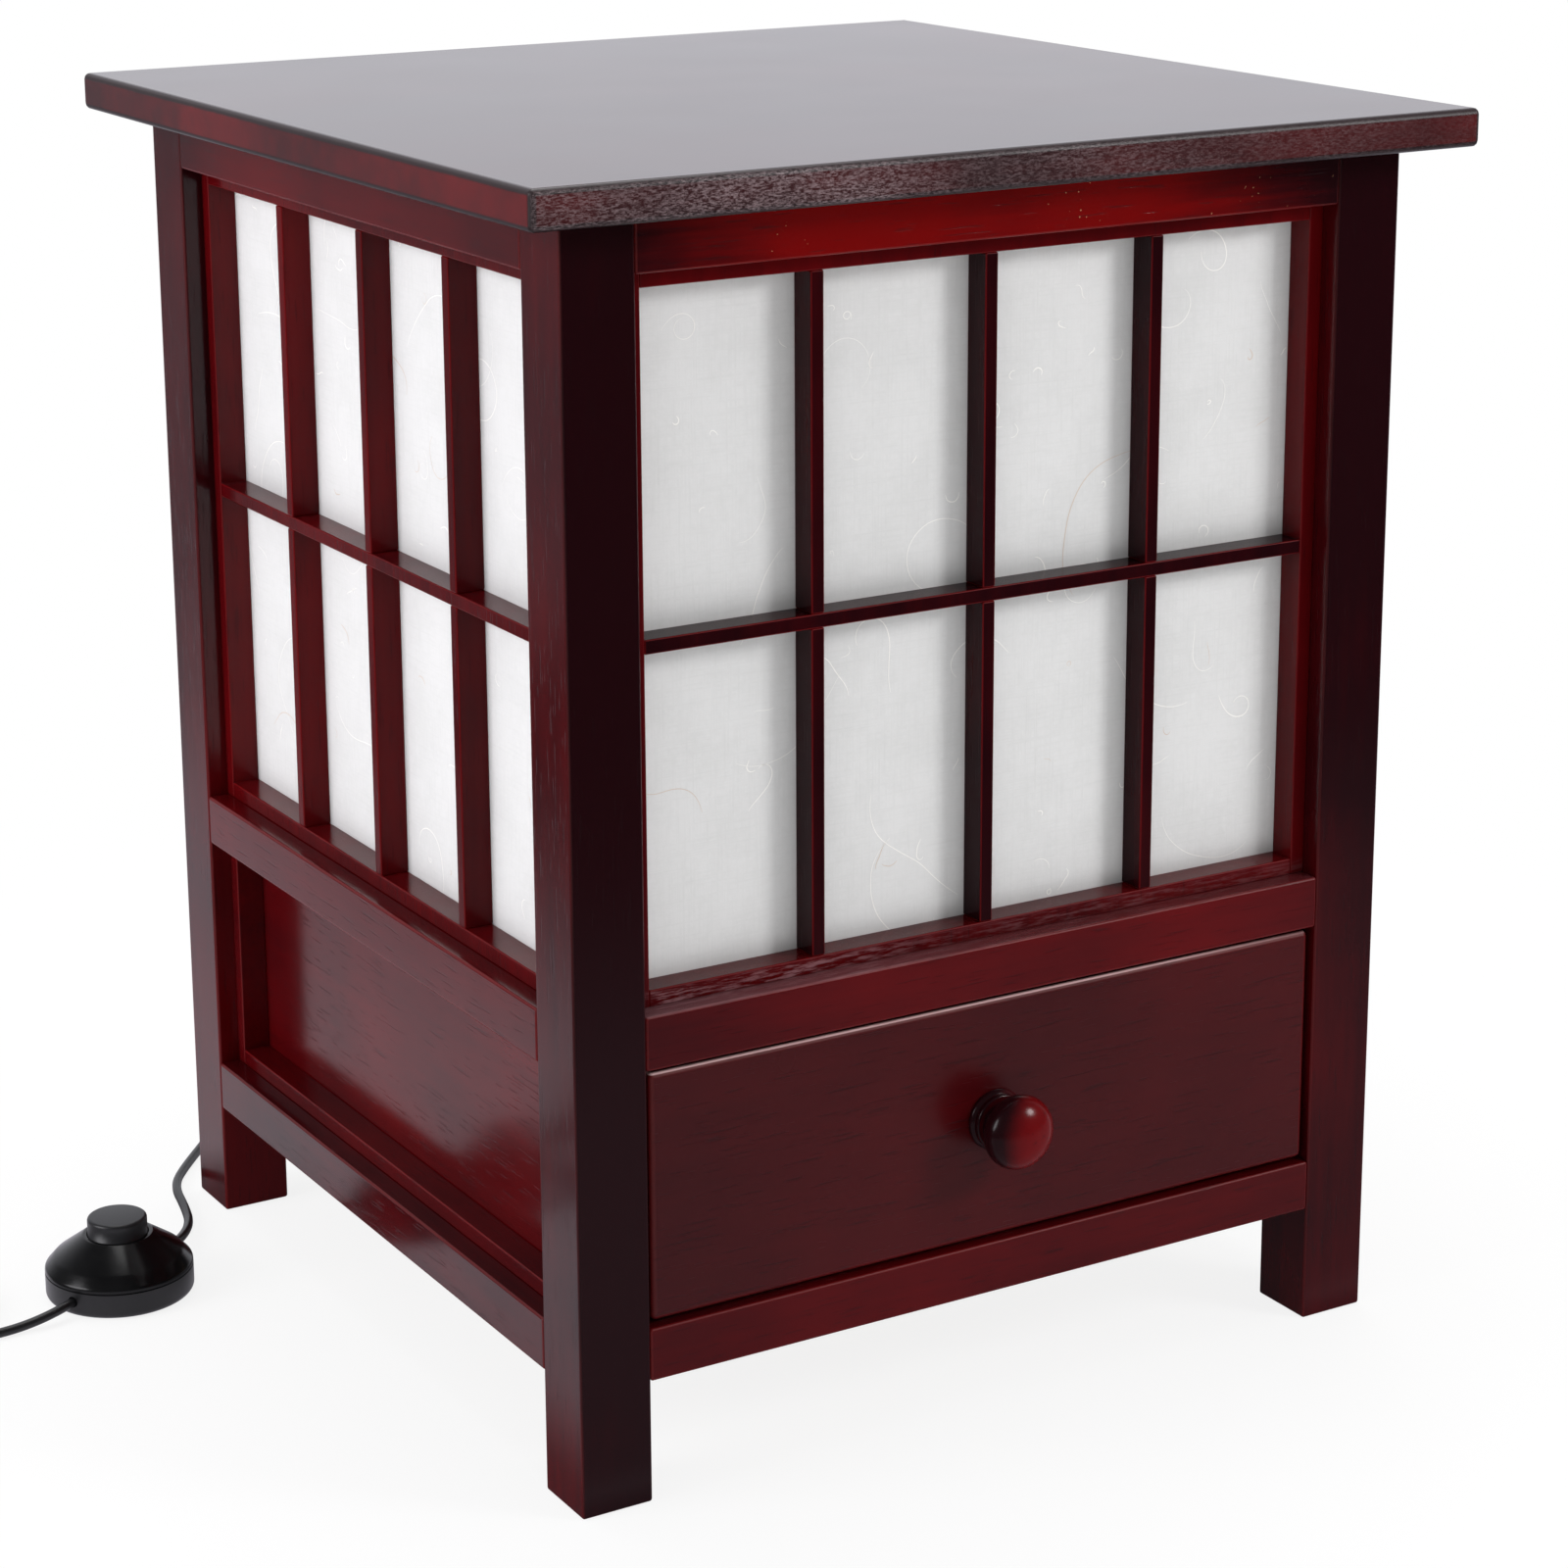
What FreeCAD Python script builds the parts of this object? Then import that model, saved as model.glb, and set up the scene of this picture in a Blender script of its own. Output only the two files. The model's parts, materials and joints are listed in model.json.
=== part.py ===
"""Shoji lamp table: four posts, papered lattice windows, one drawer and a foot switch on its cord.

The origin is at floor level under the middle of the cabinet. X runs to the right along the drawer
front, Y to the back and Z up, in millimetres. Every driving dimension is a cell of the sheet "Dims".
A piece that stands on all four sides is drawn once for the front and turned about Z for the others.
"""
import FreeCAD, Part

import math
import os
import re

import Sketcher

Vector = FreeCAD.Vector

DIMENSIONS = (
    # cabinet
    ("height", 500, "floor to the upper face of the top"),
    ("top_size", 410, "side of the square top"),
    ("top_thick", 15, "thickness of the top"),
    ("top_round", 2.5, "rounding of the top's edges"),
    ("body_size", 367, "side of the square across the posts"),
    ("leg_side", 29.6, "section of a post"),
    ("edge_round", 1.5, "eased edge of posts and rails"),
    ("foot_chamfer", 1, "chamfer round the foot of a post"),
    ("rail_height", 21, "height of every rail"),
    ("rail_thick", 24, "thickness of every rail, flush with the posts outside"),
    ("bottom_rail_z", 48.7, "underside of the bottom rails"),
    ("mid_rail_z", 171.3, "underside of the middle rails"),
    ("tenon_length", 12, "tenon of a rail in its post"),
    ("tenon_thick", 8, "thickness of a tenon"),
    ("tenon_margin", 3, "shoulder above and below a tenon"),
    ("batten_width", 20, "locating batten under the top"),
    ("batten_thick", 12, "thickness of a batten"),
    ("batten_length", 280, "length of a batten"),
    ("batten_gap", 0.5, "play between a batten and the rails"),
    # windows and panels
    ("frame_recess", 9, "posts' outer face to the window frame"),
    ("frame_depth", 12, "depth of frame members and bars"),
    ("frame_face", 6.5, "width of a frame member seen from outside"),
    ("bar_face", 5.5, "width of a lattice bar seen from outside"),
    ("paper_thick", 0.6, "laminated rice paper"),
    ("panel_thick", 3, "lower side and rear panels"),
    ("floor_thick", 6, "lamp floor board"),
    ("floor_raise", 7, "middle rail's underside to the lamp floor's underside"),
    ("floor_groove", 5, "depth of the groove that holds the lamp floor"),
    # drawer
    ("drawer_gap", 2, "gap round the drawer front"),
    ("drawer_recess", 2, "posts' outer face to the drawer front's face"),
    ("drawer_front_thick", 16, "thickness of the drawer front"),
    ("drawer_round", 2.5, "eased edge of the drawer front"),
    ("drawer_inset", 5.5, "posts' inner face to the drawer side"),
    ("drawer_side_thick", 10, "thickness of drawer sides and back"),
    ("drawer_side_height", 78, "height of drawer sides"),
    ("drawer_length", 300, "length of the drawer sides"),
    ("drawer_bottom_thick", 3.5, "plywood drawer bottom"),
    ("drawer_bottom_raise", 6, "side's lower edge to the drawer bottom's underside"),
    ("drawer_groove", 4, "depth of the grooves that hold the drawer bottom"),
    ("runner_play", 0.5, "play between a drawer side's lower edge and its runner"),
    ("runner_ledge", 13.5, "thickness of a runner's ledge"),
    ("runner_end", 137, "middle of the cabinet to a runner's rear end"),
    ("runner_reach", 136, "middle of the cabinet to a runner's inner edge"),
    ("guide_reach", 149, "middle of the cabinet to a runner's guide"),
    ("guide_height", 14, "height of a runner's guide above its ledge"),
    # knob, from the drawer front outwards
    ("collar_radius", 12.5, "larger bead of the knob's collar"),
    ("collar_depth", 3.2, "depth of the larger bead"),
    ("bead_radius", 11, "smaller bead of the collar"),
    ("bead_end", 5.6, "drawer face to the end of the smaller bead"),
    ("neck_radius", 7.5, "neck under the ball"),
    ("ball_start", 8.6, "drawer face to the start of the ball"),
    ("ball_mid", 16.6, "drawer face to the ball's largest section"),
    ("ball_radius", 14.8, "largest radius of the ball"),
    ("knob_length", 26.2, "drawer face to the knob's tip"),
    ("knob_bore", 2, "radius of the knob's screw hole"),
    ("knob_bore_depth", 14, "depth of the knob's screw hole"),
    # light
    ("holder_flange", 32, "radius of the lampholder's flange"),
    ("holder_flange_thick", 9, "thickness of that flange"),
    ("holder_radius", 20, "radius of the lampholder's barrel"),
    ("holder_height", 48, "height of the lampholder"),
    ("socket_radius", 13.5, "bore for the bulb's cap"),
    ("socket_depth", 26, "depth of that bore"),
    ("cap_radius", 13.2, "screw cap of the bulb"),
    ("bulb_radius", 30, "largest radius of the bulb"),
    ("bulb_height", 84, "glass above the cap"),
    ("holder_screw_x", 26, "lampholder's screws from its axis"),
    ("screw_radius", 1.75, "shank of the wood screws"),
    ("screw_head", 3.6, "radius of a screw head"),
    ("screw_head_thick", 2, "thickness of a screw head"),
    # cord
    ("cord_radius", 2, "half of the cord's diameter"),
    ("exit_x", 140, "middle of the cabinet to the cord's exit in the rear rail"),
    ("exit_z", 59.2, "height of that exit"),
    ("sleeve_radius", 4.5, "strain relief in the rail"),
    ("sleeve_flange", 7, "radius of its flange"),
    ("sleeve_flange_thick", 2.5, "thickness of its flange"),
    ("sleeve_tip", 3, "radius at the tip of its taper"),
    ("sleeve_reach", 24.5, "rail's outer face to that tip"),
    ("inner_run_y", 143, "inner lead behind the drawer"),
    ("inner_run_z", 166, "inner lead under the lamp floor"),
    ("coil_mid_radius", 31.6, "middle of the put-away coil's turns"),
    ("coil_half_width", 10.4, "half of the coil's section"),
    ("coil_height", 8.2, "height of the coil"),
    ("coil_x", -350, "middle of the coil"),
    ("coil_y", 120.6, "middle of the coil"),
    # foot switch
    ("switch_x", -254.5, "axis of the foot switch"),
    ("switch_y", 100, "axis of the foot switch"),
    ("switch_turn", 30, "direction of its cord line from X, in degrees"),
    ("switch_radius", 31, "radius of the housing"),
    ("switch_foot", 28.5, "radius of the flat under the housing"),
    ("switch_wall", 2, "wall of the housing"),
    ("base_height", 10.8, "height of the lower housing"),
    ("cover_top", 26.2, "height of the cover's rim round the button"),
    ("cover_rim", 14.6, "radius of that rim"),
    ("button_radius", 12.5, "radius of the button"),
    ("button_play", 0.4, "play between the button and its hole"),
    ("button_top", 34, "height of the button"),
    ("button_flange", 14, "radius of the flange that keeps the button in"),
    ("button_low", 22.2, "lower edge of the button at rest"),
    ("stem_radius", 2.5, "stem under the button"),
    ("stem_low", 14.5, "end of the stem at rest"),
    ("module_half", 17, "half length of the click module"),
    ("module_width", 16, "width of the click module"),
    ("module_top", 16, "top of the click module"),
    ("switch_cord_z", 6.5, "height of the cord in the switch"),
    ("pillar_y", 21, "screw pillars from the switch's axis"),
    ("pillar_radius", 3, "radius of a screw pillar"),
    # plug
    ("plug_y", 137.5, "start of the plug's tapered tail"),
    ("plug_tail", 16, "length of that tail"),
    ("plug_length", 30, "length of the plug's body"),
    ("plug_width", 24, "width of the plug's body"),
    ("plug_thick", 14, "thickness of the plug's body"),
    ("blade_length", 17, "length of a blade"),
    ("blade_width", 6.3, "width of a blade"),
    ("blade_thick", 1.5, "thickness of a blade"),
    ("blade_pitch", 12.7, "distance between the blades"),
)
ALIASES = {alias for alias, _, _ in DIMENSIONS}

# Places that several pieces share, written with the sheet's aliases.
FACE = "(body_size/2)"
POST_IN = "(body_size/2 - leg_side)"
RAIL_IN = "(body_size/2 - rail_thick)"
TOP_UNDER = "(height - top_thick)"
TOP_RAIL_Z = "(height - top_thick - rail_height)"
FRAME_FACE_Y = "(body_size/2 - frame_recess)"
FRAME_BACK_Y = "(body_size/2 - frame_recess - frame_depth)"
WINDOW = ("(mid_rail_z + rail_height)", TOP_RAIL_Z)
LOWER_BAY = ("(bottom_rail_z + rail_height)", "mid_rail_z")
FLOOR_Z = "(mid_rail_z + floor_raise)"
FLOOR_TOP = "(mid_rail_z + floor_raise + floor_thick)"
DRAWER_LOW = "(bottom_rail_z + rail_height + drawer_gap)"
DRAWER_HIGH = "(mid_rail_z - drawer_gap)"
DRAWER_BACK_Y = "(body_size/2 - drawer_recess - drawer_front_thick)"
DRAWER_SIDE_X = "(body_size/2 - leg_side - drawer_inset)"
KNOB_Z = "((bottom_rail_z + rail_height + mid_rail_z)/2)"
RAIL_LEVELS = {"bottom": "bottom_rail_z", "mid": "mid_rail_z", "top": TOP_RAIL_Z}

# A front piece is turned by this many degrees about Z for each side, and a front left one for each post.
SIDES = {"front": 0, "right": 90, "back": 180, "left": 270}
CORNERS = {"front_left": 0, "front_right": 90, "rear_right": 180, "rear_left": 270}

doc = FreeCAD.newDocument("ShojiLampTable")
dims = doc.addObject("Spreadsheet::Sheet", "Dims")
for row, (alias, number, meaning) in enumerate(DIMENSIONS, start=1):
    dims.set(f"A{row}", meaning)
    dims.set(f"B{row}", str(number))
    dims.setAlias(f"B{row}", alias)
doc.recompute()

parts = []


def cells(expression):
    """Write the sheet's name before every alias in an expression."""
    return re.sub(r"[a-z_]+", lambda m: f"Dims.{m[0]}" if m[0] in ALIASES else m[0], expression)


def size(expression):
    """Work out an expression in the sheet's aliases as a number."""
    number = dims.evalExpression(cells(expression))
    return float(getattr(number, "Value", number))


def dome(rim, rise):
    """Radius of a dome's profile that meets the axis squarely, from the dome's rim and rise."""
    return f"(({rim})^2 + ({rise})^2)/(2*({rise}))"


def turned_by(angle, at=Vector(0, 0, 0)):
    """Placement that turns a piece about Z and then moves it."""
    return FreeCAD.Placement(at, FreeCAD.Rotation(Vector(0, 0, 1), angle))


class Piece:
    """A PartDesign body that grows by sketches and features bound to the sheet."""

    def __init__(self, label, placement=None, is_part=True):
        self.body = doc.addObject("PartDesign::Body", "Body")
        self.body.Label = label
        self.body.AllowCompound = True
        self.planes = {item.Role: item for item in self.body.Origin.OriginFeatures}
        if placement:
            self.body.Placement = placement
        if is_part:
            parts.append(self.body)

    def sketch(self, plane, offset="0"):
        """Sketch on an origin plane, moved along that plane's normal."""
        sketch = self.body.newObject("Sketcher::SketchObject", "Sketch")
        sketch.AttachmentSupport = (self.planes[plane], [""])
        sketch.MapMode = "FlatFace"
        sketch.setExpression("AttachmentOffset.Base.z", cells(offset))
        return sketch

    def outline(self, sketch, points):
        """Closed outline. A point (x, y) ends a straight side, and (x, y, radius) ends an arc.

        A positive radius bends the arc to the left of its direction of travel, and the radius is
        bound to its expression as the ends are.
        """
        start = sketch.GeometryCount
        corners = [Vector(size(point[0]), size(point[1]), 0) for point in points]
        count = len(points)
        for index in range(count):
            a, b = corners[index], corners[(index + 1) % count]
            bend = points[(index + 1) % count][2:]
            if not bend:
                sketch.addGeometry(Part.LineSegment(a, b))
                continue
            radius = size(bend[0])
            half = (b - a).Length / 2
            normal = Vector(a.y - b.y, b.x - a.x, 0).normalize() * math.copysign(1, radius)
            sagitta = abs(radius) - math.sqrt(radius * radius - half * half)
            sketch.addGeometry(Part.Arc(a, (a + b) * 0.5 - normal * sagitta, b))
        for index in range(count):
            first, second = start + index, start + (index + 1) % count
            ends = [1 if self.starts_at(sketch, line, corners[(index + 1) % count]) else 2
                    for line in (first, second)]
            sketch.addConstraint(Sketcher.Constraint("Coincident", first, ends[0], second, ends[1]))
        for index, point in enumerate(points):
            at = 1 if self.starts_at(sketch, start + index, corners[index]) else 2
            self.bind_end(sketch, start + index, at, point[0], point[1])
        for index in range(count):
            bend = points[(index + 1) % count][2:]
            if bend:
                number = abs(size(bend[0]))
                bound = sketch.addConstraint(Sketcher.Constraint("Radius", start + index, number))
                sketch.setExpression(f"Constraints[{bound}]", cells(f"abs({bend[0]})"))

    @staticmethod
    def starts_at(sketch, line, corner):
        """Whether a sketch line starts, and not ends, at a corner."""
        return (sketch.getPoint(line, 1) - corner).Length < (sketch.getPoint(line, 2) - corner).Length

    @staticmethod
    def bind_end(sketch, line, end, across, up):
        """Bind one end of a sketch line to two expressions."""
        for kind, axis, expression in (("DistanceX", -2, across), ("DistanceY", -1, up)):
            number = size(expression)
            if abs(number) < 1e-9:
                sketch.addConstraint(Sketcher.Constraint("PointOnObject", line, end, axis))
                continue
            index = sketch.addConstraint(Sketcher.Constraint(kind, -1, 1, line, end, number))
            sketch.setExpression(f"Constraints[{index}]", cells(expression))

    def rectangle(self, sketch, left, right, low, high):
        """Rectangle between four expressions."""
        self.outline(sketch, ((left, low), (right, low), (right, high), (left, high)))

    def circle(self, sketch, across, up, radius):
        """Circle with a bound centre and radius."""
        centre = Vector(size(across), size(up), 0)
        line = sketch.addGeometry(Part.Circle(centre, Vector(0, 0, 1), size(radius)))
        bound = sketch.addConstraint(Sketcher.Constraint("Radius", line, size(radius)))
        sketch.setExpression(f"Constraints[{bound}]", cells(radius))
        self.bind_end(sketch, line, 3, across, up)

    def feature(self, kind, sketch, length, middle=False, backwards=False):
        """Pad or pocket of a bound length, which has to change the body's volume."""
        before = 0 if self.body.Shape.isNull() else self.body.Shape.Volume
        feature = self.body.newObject(f"PartDesign::{kind}", kind)
        feature.Profile = sketch
        feature.setExpression("Length", cells(length))
        feature.SideType = "Symmetric" if middle else "One side"
        feature.Reversed = backwards
        doc.recompute()
        change = self.body.Shape.Volume - before
        if (change < 1e-3) if kind == "Pad" else (change > -1e-3):
            raise RuntimeError(f"{kind} of {self.body.Label} changes nothing")
        return feature

    def pad(self, sketch, length, middle=False, backwards=False):
        """Grow a sketch along its plane's normal."""
        return self.feature("Pad", sketch, length, middle, backwards)

    def pocket(self, sketch, length, middle=False, backwards=False):
        """Cut a sketch against its plane's normal."""
        return self.feature("Pocket", sketch, length, middle, backwards)

    def revolve(self, sketch):
        """Turn a sketch on the XZ plane about Z."""
        feature = self.body.newObject("PartDesign::Revolution", "Revolution")
        feature.Profile = sketch
        feature.ReferenceAxis = (sketch, ["V_Axis"])
        feature.Angle = 360
        doc.recompute()
        return feature

    def ease(self, kind, amount, chosen):
        """Fillet or chamfer the edges for which chosen(edge) is true."""
        base = self.body.Tip
        names = [f"Edge{i}" for i, edge in enumerate(base.Shape.Edges, start=1) if chosen(edge)]
        feature = self.body.newObject(f"PartDesign::{kind}", kind)
        feature.Base = (base, names)
        feature.setExpression("Radius" if kind == "Fillet" else "Size", cells(amount))
        doc.recompute()
        return feature


def along(edge, axis):
    """Whether a straight edge runs along X, Y or Z."""
    if not isinstance(edge.Curve, Part.Line):
        return False
    direction = edge.Curve.Direction
    return abs(getattr(direction, axis)) > 0.999


def lies_at(edge, axis, place):
    """Whether every end of an edge has this coordinate."""
    return all(abs(getattr(vertex.Point, axis) - place) < 1e-4 for vertex in edge.Vertexes)


def board(label, across, deep, up, placement=None, is_part=True):
    """Board between pairs of expressions along X, Y and Z."""
    piece = Piece(label, placement, is_part)
    sketch = piece.sketch("XY_Plane", up[0])
    piece.rectangle(sketch, across[0], across[1], deep[0], deep[1])
    piece.pad(sketch, f"({up[1]}) - ({up[0]})")
    return piece


def turned(label, profile, placement=None, is_part=True):
    """Turned piece from a closed profile of (radius, height) points."""
    piece = Piece(label, placement, is_part)
    sketch = piece.sketch("XZ_Plane")
    piece.outline(sketch, profile)
    piece.revolve(sketch)
    return piece


def group(label, pieces, placement=None):
    """One node that holds several separate solids."""
    compound = doc.addObject("Part::Compound", "Group")
    compound.Label = label
    compound.Links = [piece.body for piece in pieces]
    if placement:
        compound.Placement = placement
    doc.recompute()
    parts.append(compound)
    return compound


# Cabinet


def make_top():
    """Lift-off top with eased edges, and the two battens that keep it in place."""
    half = "(top_size/2)"
    top = board("tabletop", (f"-{half}", half), (f"-{half}", half), (TOP_UNDER, "height"))
    top.ease("Fillet", "top_round", lambda edge: True)
    outer = f"({RAIL_IN} - batten_gap)"
    inner = f"({RAIL_IN} - batten_gap - batten_width)"
    deep = ("-batten_length/2", "batten_length/2")
    up = (f"{TOP_UNDER} - batten_thick", TOP_UNDER)
    battens = [board("batten_left", (f"-{outer}", f"-{inner}"), deep, up, is_part=False),
               board("batten_right", (inner, outer), deep, up, is_part=False)]
    group("tabletop_battens", battens)


def make_leg(label, spin):
    """Square post with eased arrises, a chamfered foot and a mortise for each of its six rails."""
    leg = board(label, (f"-{FACE}", f"-{POST_IN}"), (f"-{FACE}", f"-{POST_IN}"), ("0", TOP_UNDER),
                turned_by(spin))
    leg.ease("Fillet", "edge_round", lambda edge: along(edge, "z"))
    leg.ease("Chamfer", "foot_chamfer", lambda edge: lies_at(edge, "z", 0))
    near = f"-({FACE} - rail_thick/2 + tenon_thick/2)"
    far = f"-({FACE} - rail_thick/2 - tenon_thick/2)"
    for plane, offset, backwards in (("YZ_Plane", f"-{POST_IN}", False), ("XZ_Plane", POST_IN, True)):
        sketch = leg.sketch(plane, offset)
        for level in RAIL_LEVELS.values():
            leg.rectangle(sketch, near, far, f"{level} + tenon_margin",
                          f"{level} + rail_height - tenon_margin")
        leg.pocket(sketch, "tenon_length", backwards=backwards)


def make_rail(label, level, spin):
    """Rail flush with the posts, with a tenon at each end and eased outer edges."""
    rail = Piece(label, turned_by(spin))
    sketch = rail.sketch("YZ_Plane")
    rail.rectangle(sketch, f"-{FACE}", f"-{RAIL_IN}", level, f"{level} + rail_height")
    rail.pad(sketch, f"2*{POST_IN}", middle=True)
    face = -size(FACE)
    rail.ease("Fillet", "edge_round", lambda edge: along(edge, "x") and lies_at(edge, "y", face))
    tenon = rail.sketch("YZ_Plane")
    middle = f"-({FACE} - rail_thick/2)"
    rail.rectangle(tenon, f"{middle} - tenon_thick/2", f"{middle} + tenon_thick/2",
                   f"{level} + tenon_margin", f"{level} + rail_height - tenon_margin")
    rail.pad(tenon, f"2*{POST_IN} + 2*tenon_length", middle=True)
    return rail


def make_rails():
    """Three rails on each side: the middle ones are grooved, and the rear bottom one lets the cord out."""
    for side, spin in SIDES.items():
        make_rail(f"top_rail_{side}", TOP_RAIL_Z, spin)
        middle = make_rail(f"mid_rail_{side}", "mid_rail_z", spin)
        groove = middle.sketch("YZ_Plane")
        middle.rectangle(groove, f"-{RAIL_IN} - floor_groove", f"-{RAIL_IN}", FLOOR_Z, FLOOR_TOP)
        middle.pocket(groove, f"2*{POST_IN}", middle=True)
        bottom = make_rail(f"bottom_rail_{side}", "bottom_rail_z", spin)
        if side == "back":
            hole = bottom.sketch("XZ_Plane", FACE)
            bottom.circle(hole, "exit_x", "exit_z", "sleeve_radius")
            bottom.pocket(hole, "rail_thick")


def make_frame(label, low, high, spin):
    """Thin frame of two stiles and two rails that fills a bay between posts and rails."""
    stiles = Piece(f"{label}_stiles", is_part=False)
    sketch = stiles.sketch("XZ_Plane", FRAME_BACK_Y)
    stiles.rectangle(sketch, f"-{POST_IN}", f"-{POST_IN} + frame_face", low, high)
    stiles.rectangle(sketch, f"{POST_IN} - frame_face", POST_IN, low, high)
    stiles.pad(sketch, "frame_depth")
    rails = Piece(f"{label}_rails", is_part=False)
    sketch = rails.sketch("XZ_Plane", FRAME_BACK_Y)
    inner = f"({POST_IN} - frame_face)"
    rails.rectangle(sketch, f"-{inner}", inner, low, f"{low} + frame_face")
    rails.rectangle(sketch, f"-{inner}", inner, f"{high} - frame_face", high)
    rails.pad(sketch, "frame_depth")
    group(label, (stiles, rails), turned_by(spin))


def make_bars(label, low, high, spin):
    """Three uprights and one cross bar, half-lapped: the cross bar runs through in front."""
    inner = f"({POST_IN} - frame_face)"
    pitch = f"(({inner}*2 + bar_face)/4)"
    centres = [f"-{pitch}", "0", pitch]
    middle = f"(({low} + {high})/2)"
    uprights = Piece(f"{label}_uprights", is_part=False)
    sketch = uprights.sketch("XZ_Plane", FRAME_BACK_Y)
    for centre in centres:
        uprights.rectangle(sketch, f"{centre} - bar_face/2", f"{centre} + bar_face/2",
                           f"{low} + frame_face", f"{high} - frame_face")
    uprights.pad(sketch, "frame_depth")
    lap = uprights.sketch("XZ_Plane", FRAME_FACE_Y)
    uprights.rectangle(lap, f"-{inner}", inner, f"{middle} - bar_face/2", f"{middle} + bar_face/2")
    uprights.pocket(lap, "frame_depth/2")
    cross = Piece(f"{label}_cross", is_part=False)
    sketch = cross.sketch("XZ_Plane", FRAME_BACK_Y)
    cross.rectangle(sketch, f"-{inner}", inner, f"{middle} - bar_face/2", f"{middle} + bar_face/2")
    cross.pad(sketch, "frame_depth")
    lap = cross.sketch("XZ_Plane", f"{FRAME_BACK_Y} + frame_depth/2")
    for centre in centres:
        cross.rectangle(lap, f"{centre} - bar_face/2", f"{centre} + bar_face/2",
                        f"{middle} - bar_face", f"{middle} + bar_face")
    cross.pocket(lap, "frame_depth/2")
    group(label, (uprights, cross), turned_by(spin))


def make_windows():
    """Frame, lattice and paper on each of the four sides of the lamp chamber."""
    low, high = WINDOW
    for side, spin in SIDES.items():
        make_frame(f"shoji_frame_{side}", low, high, spin)
        make_bars(f"lattice_bars_{side}", low, high, spin)
        board(f"paper_{side}", (f"-{POST_IN}", POST_IN),
              (f"-{FRAME_BACK_Y}", f"-{FRAME_BACK_Y} + paper_thick"),
              (low, high), turned_by(spin))


def make_lower_panels():
    """Framed panels beside the drawer and a plain panel behind it."""
    low, high = LOWER_BAY
    for side in ("left", "right"):
        make_frame(f"side_panel_frame_{side}", low, high, SIDES[side])
    for label, side in (("side_panel_left", "left"), ("side_panel_right", "right"), ("rear_panel", "back")):
        board(label, (f"-{POST_IN}", POST_IN), (f"-{FRAME_BACK_Y}", f"-{RAIL_IN}"), (low, high),
              turned_by(SIDES[side]))


def make_lamp_floor():
    """Board in the middle rails' grooves, notched round the posts and bored for the lead and screws."""
    half = f"({RAIL_IN} + floor_groove)"
    floor = board("lamp_floor", (f"-{half}", half), (f"-{half}", half), (FLOOR_Z, FLOOR_TOP))
    notches = floor.sketch("XY_Plane", FLOOR_TOP)
    for left, right in ((f"-{half}", f"-{POST_IN}"), (POST_IN, half)):
        for low, high in ((f"-{half}", f"-{POST_IN}"), (POST_IN, half)):
            floor.rectangle(notches, left, right, low, high)
    floor.pocket(notches, "floor_thick")
    holes = floor.sketch("XY_Plane", FLOOR_TOP)
    floor.circle(holes, "0", "0", "cord_radius + 1")
    for across in ("-holder_screw_x", "holder_screw_x"):
        floor.circle(holes, across, "0", "screw_radius")
    floor.pocket(holes, "floor_thick")


def make_runners():
    """L-shaped strips on the side rails: a ledge under each drawer side and a guide beside it."""
    pair = []
    ledge_top = f"({DRAWER_LOW} - runner_play)"
    for name, sign in (("runner_left", "-"), ("runner_right", "")):
        runner = Piece(name, is_part=False)
        sketch = runner.sketch("XZ_Plane", "-runner_end")
        outer, guide, inner = f"{sign}{RAIL_IN}", f"{sign}guide_reach", f"{sign}runner_reach"
        runner.outline(sketch, ((outer, f"{ledge_top} - runner_ledge"), (inner, f"{ledge_top} - runner_ledge"),
                                (inner, ledge_top), (guide, ledge_top),
                                (guide, f"{ledge_top} + guide_height"), (outer, f"{ledge_top} + guide_height")))
        runner.pad(sketch, f"{POST_IN} + runner_end")
        pair.append(runner)
    group("drawer_runners", pair)


# Drawer


def make_drawer_front():
    """Drawer front with eased face edges, the groove for the bottom and the knob screw's hole."""
    wide = f"({POST_IN} - drawer_gap)"
    front = Piece("drawer_front")
    sketch = front.sketch("XZ_Plane", DRAWER_BACK_Y)
    front.rectangle(sketch, f"-{wide}", wide, DRAWER_LOW, DRAWER_HIGH)
    front.pad(sketch, "drawer_front_thick")
    face = -size(f"{DRAWER_BACK_Y} + drawer_front_thick")
    front.ease("Fillet", "drawer_round", lambda edge: lies_at(edge, "y", face))
    groove = front.sketch("XZ_Plane", DRAWER_BACK_Y)
    reach = f"({DRAWER_SIDE_X} - drawer_side_thick + drawer_groove)"
    front.rectangle(groove, f"-{reach}", reach, f"{DRAWER_LOW} + drawer_bottom_raise",
                    f"{DRAWER_LOW} + drawer_bottom_raise + drawer_bottom_thick")
    front.pocket(groove, "drawer_groove", backwards=True)
    hole = front.sketch("XZ_Plane", DRAWER_BACK_Y)
    front.circle(hole, "0", KNOB_Z, "knob_bore")
    front.pocket(hole, "drawer_front_thick", backwards=True)


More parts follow.
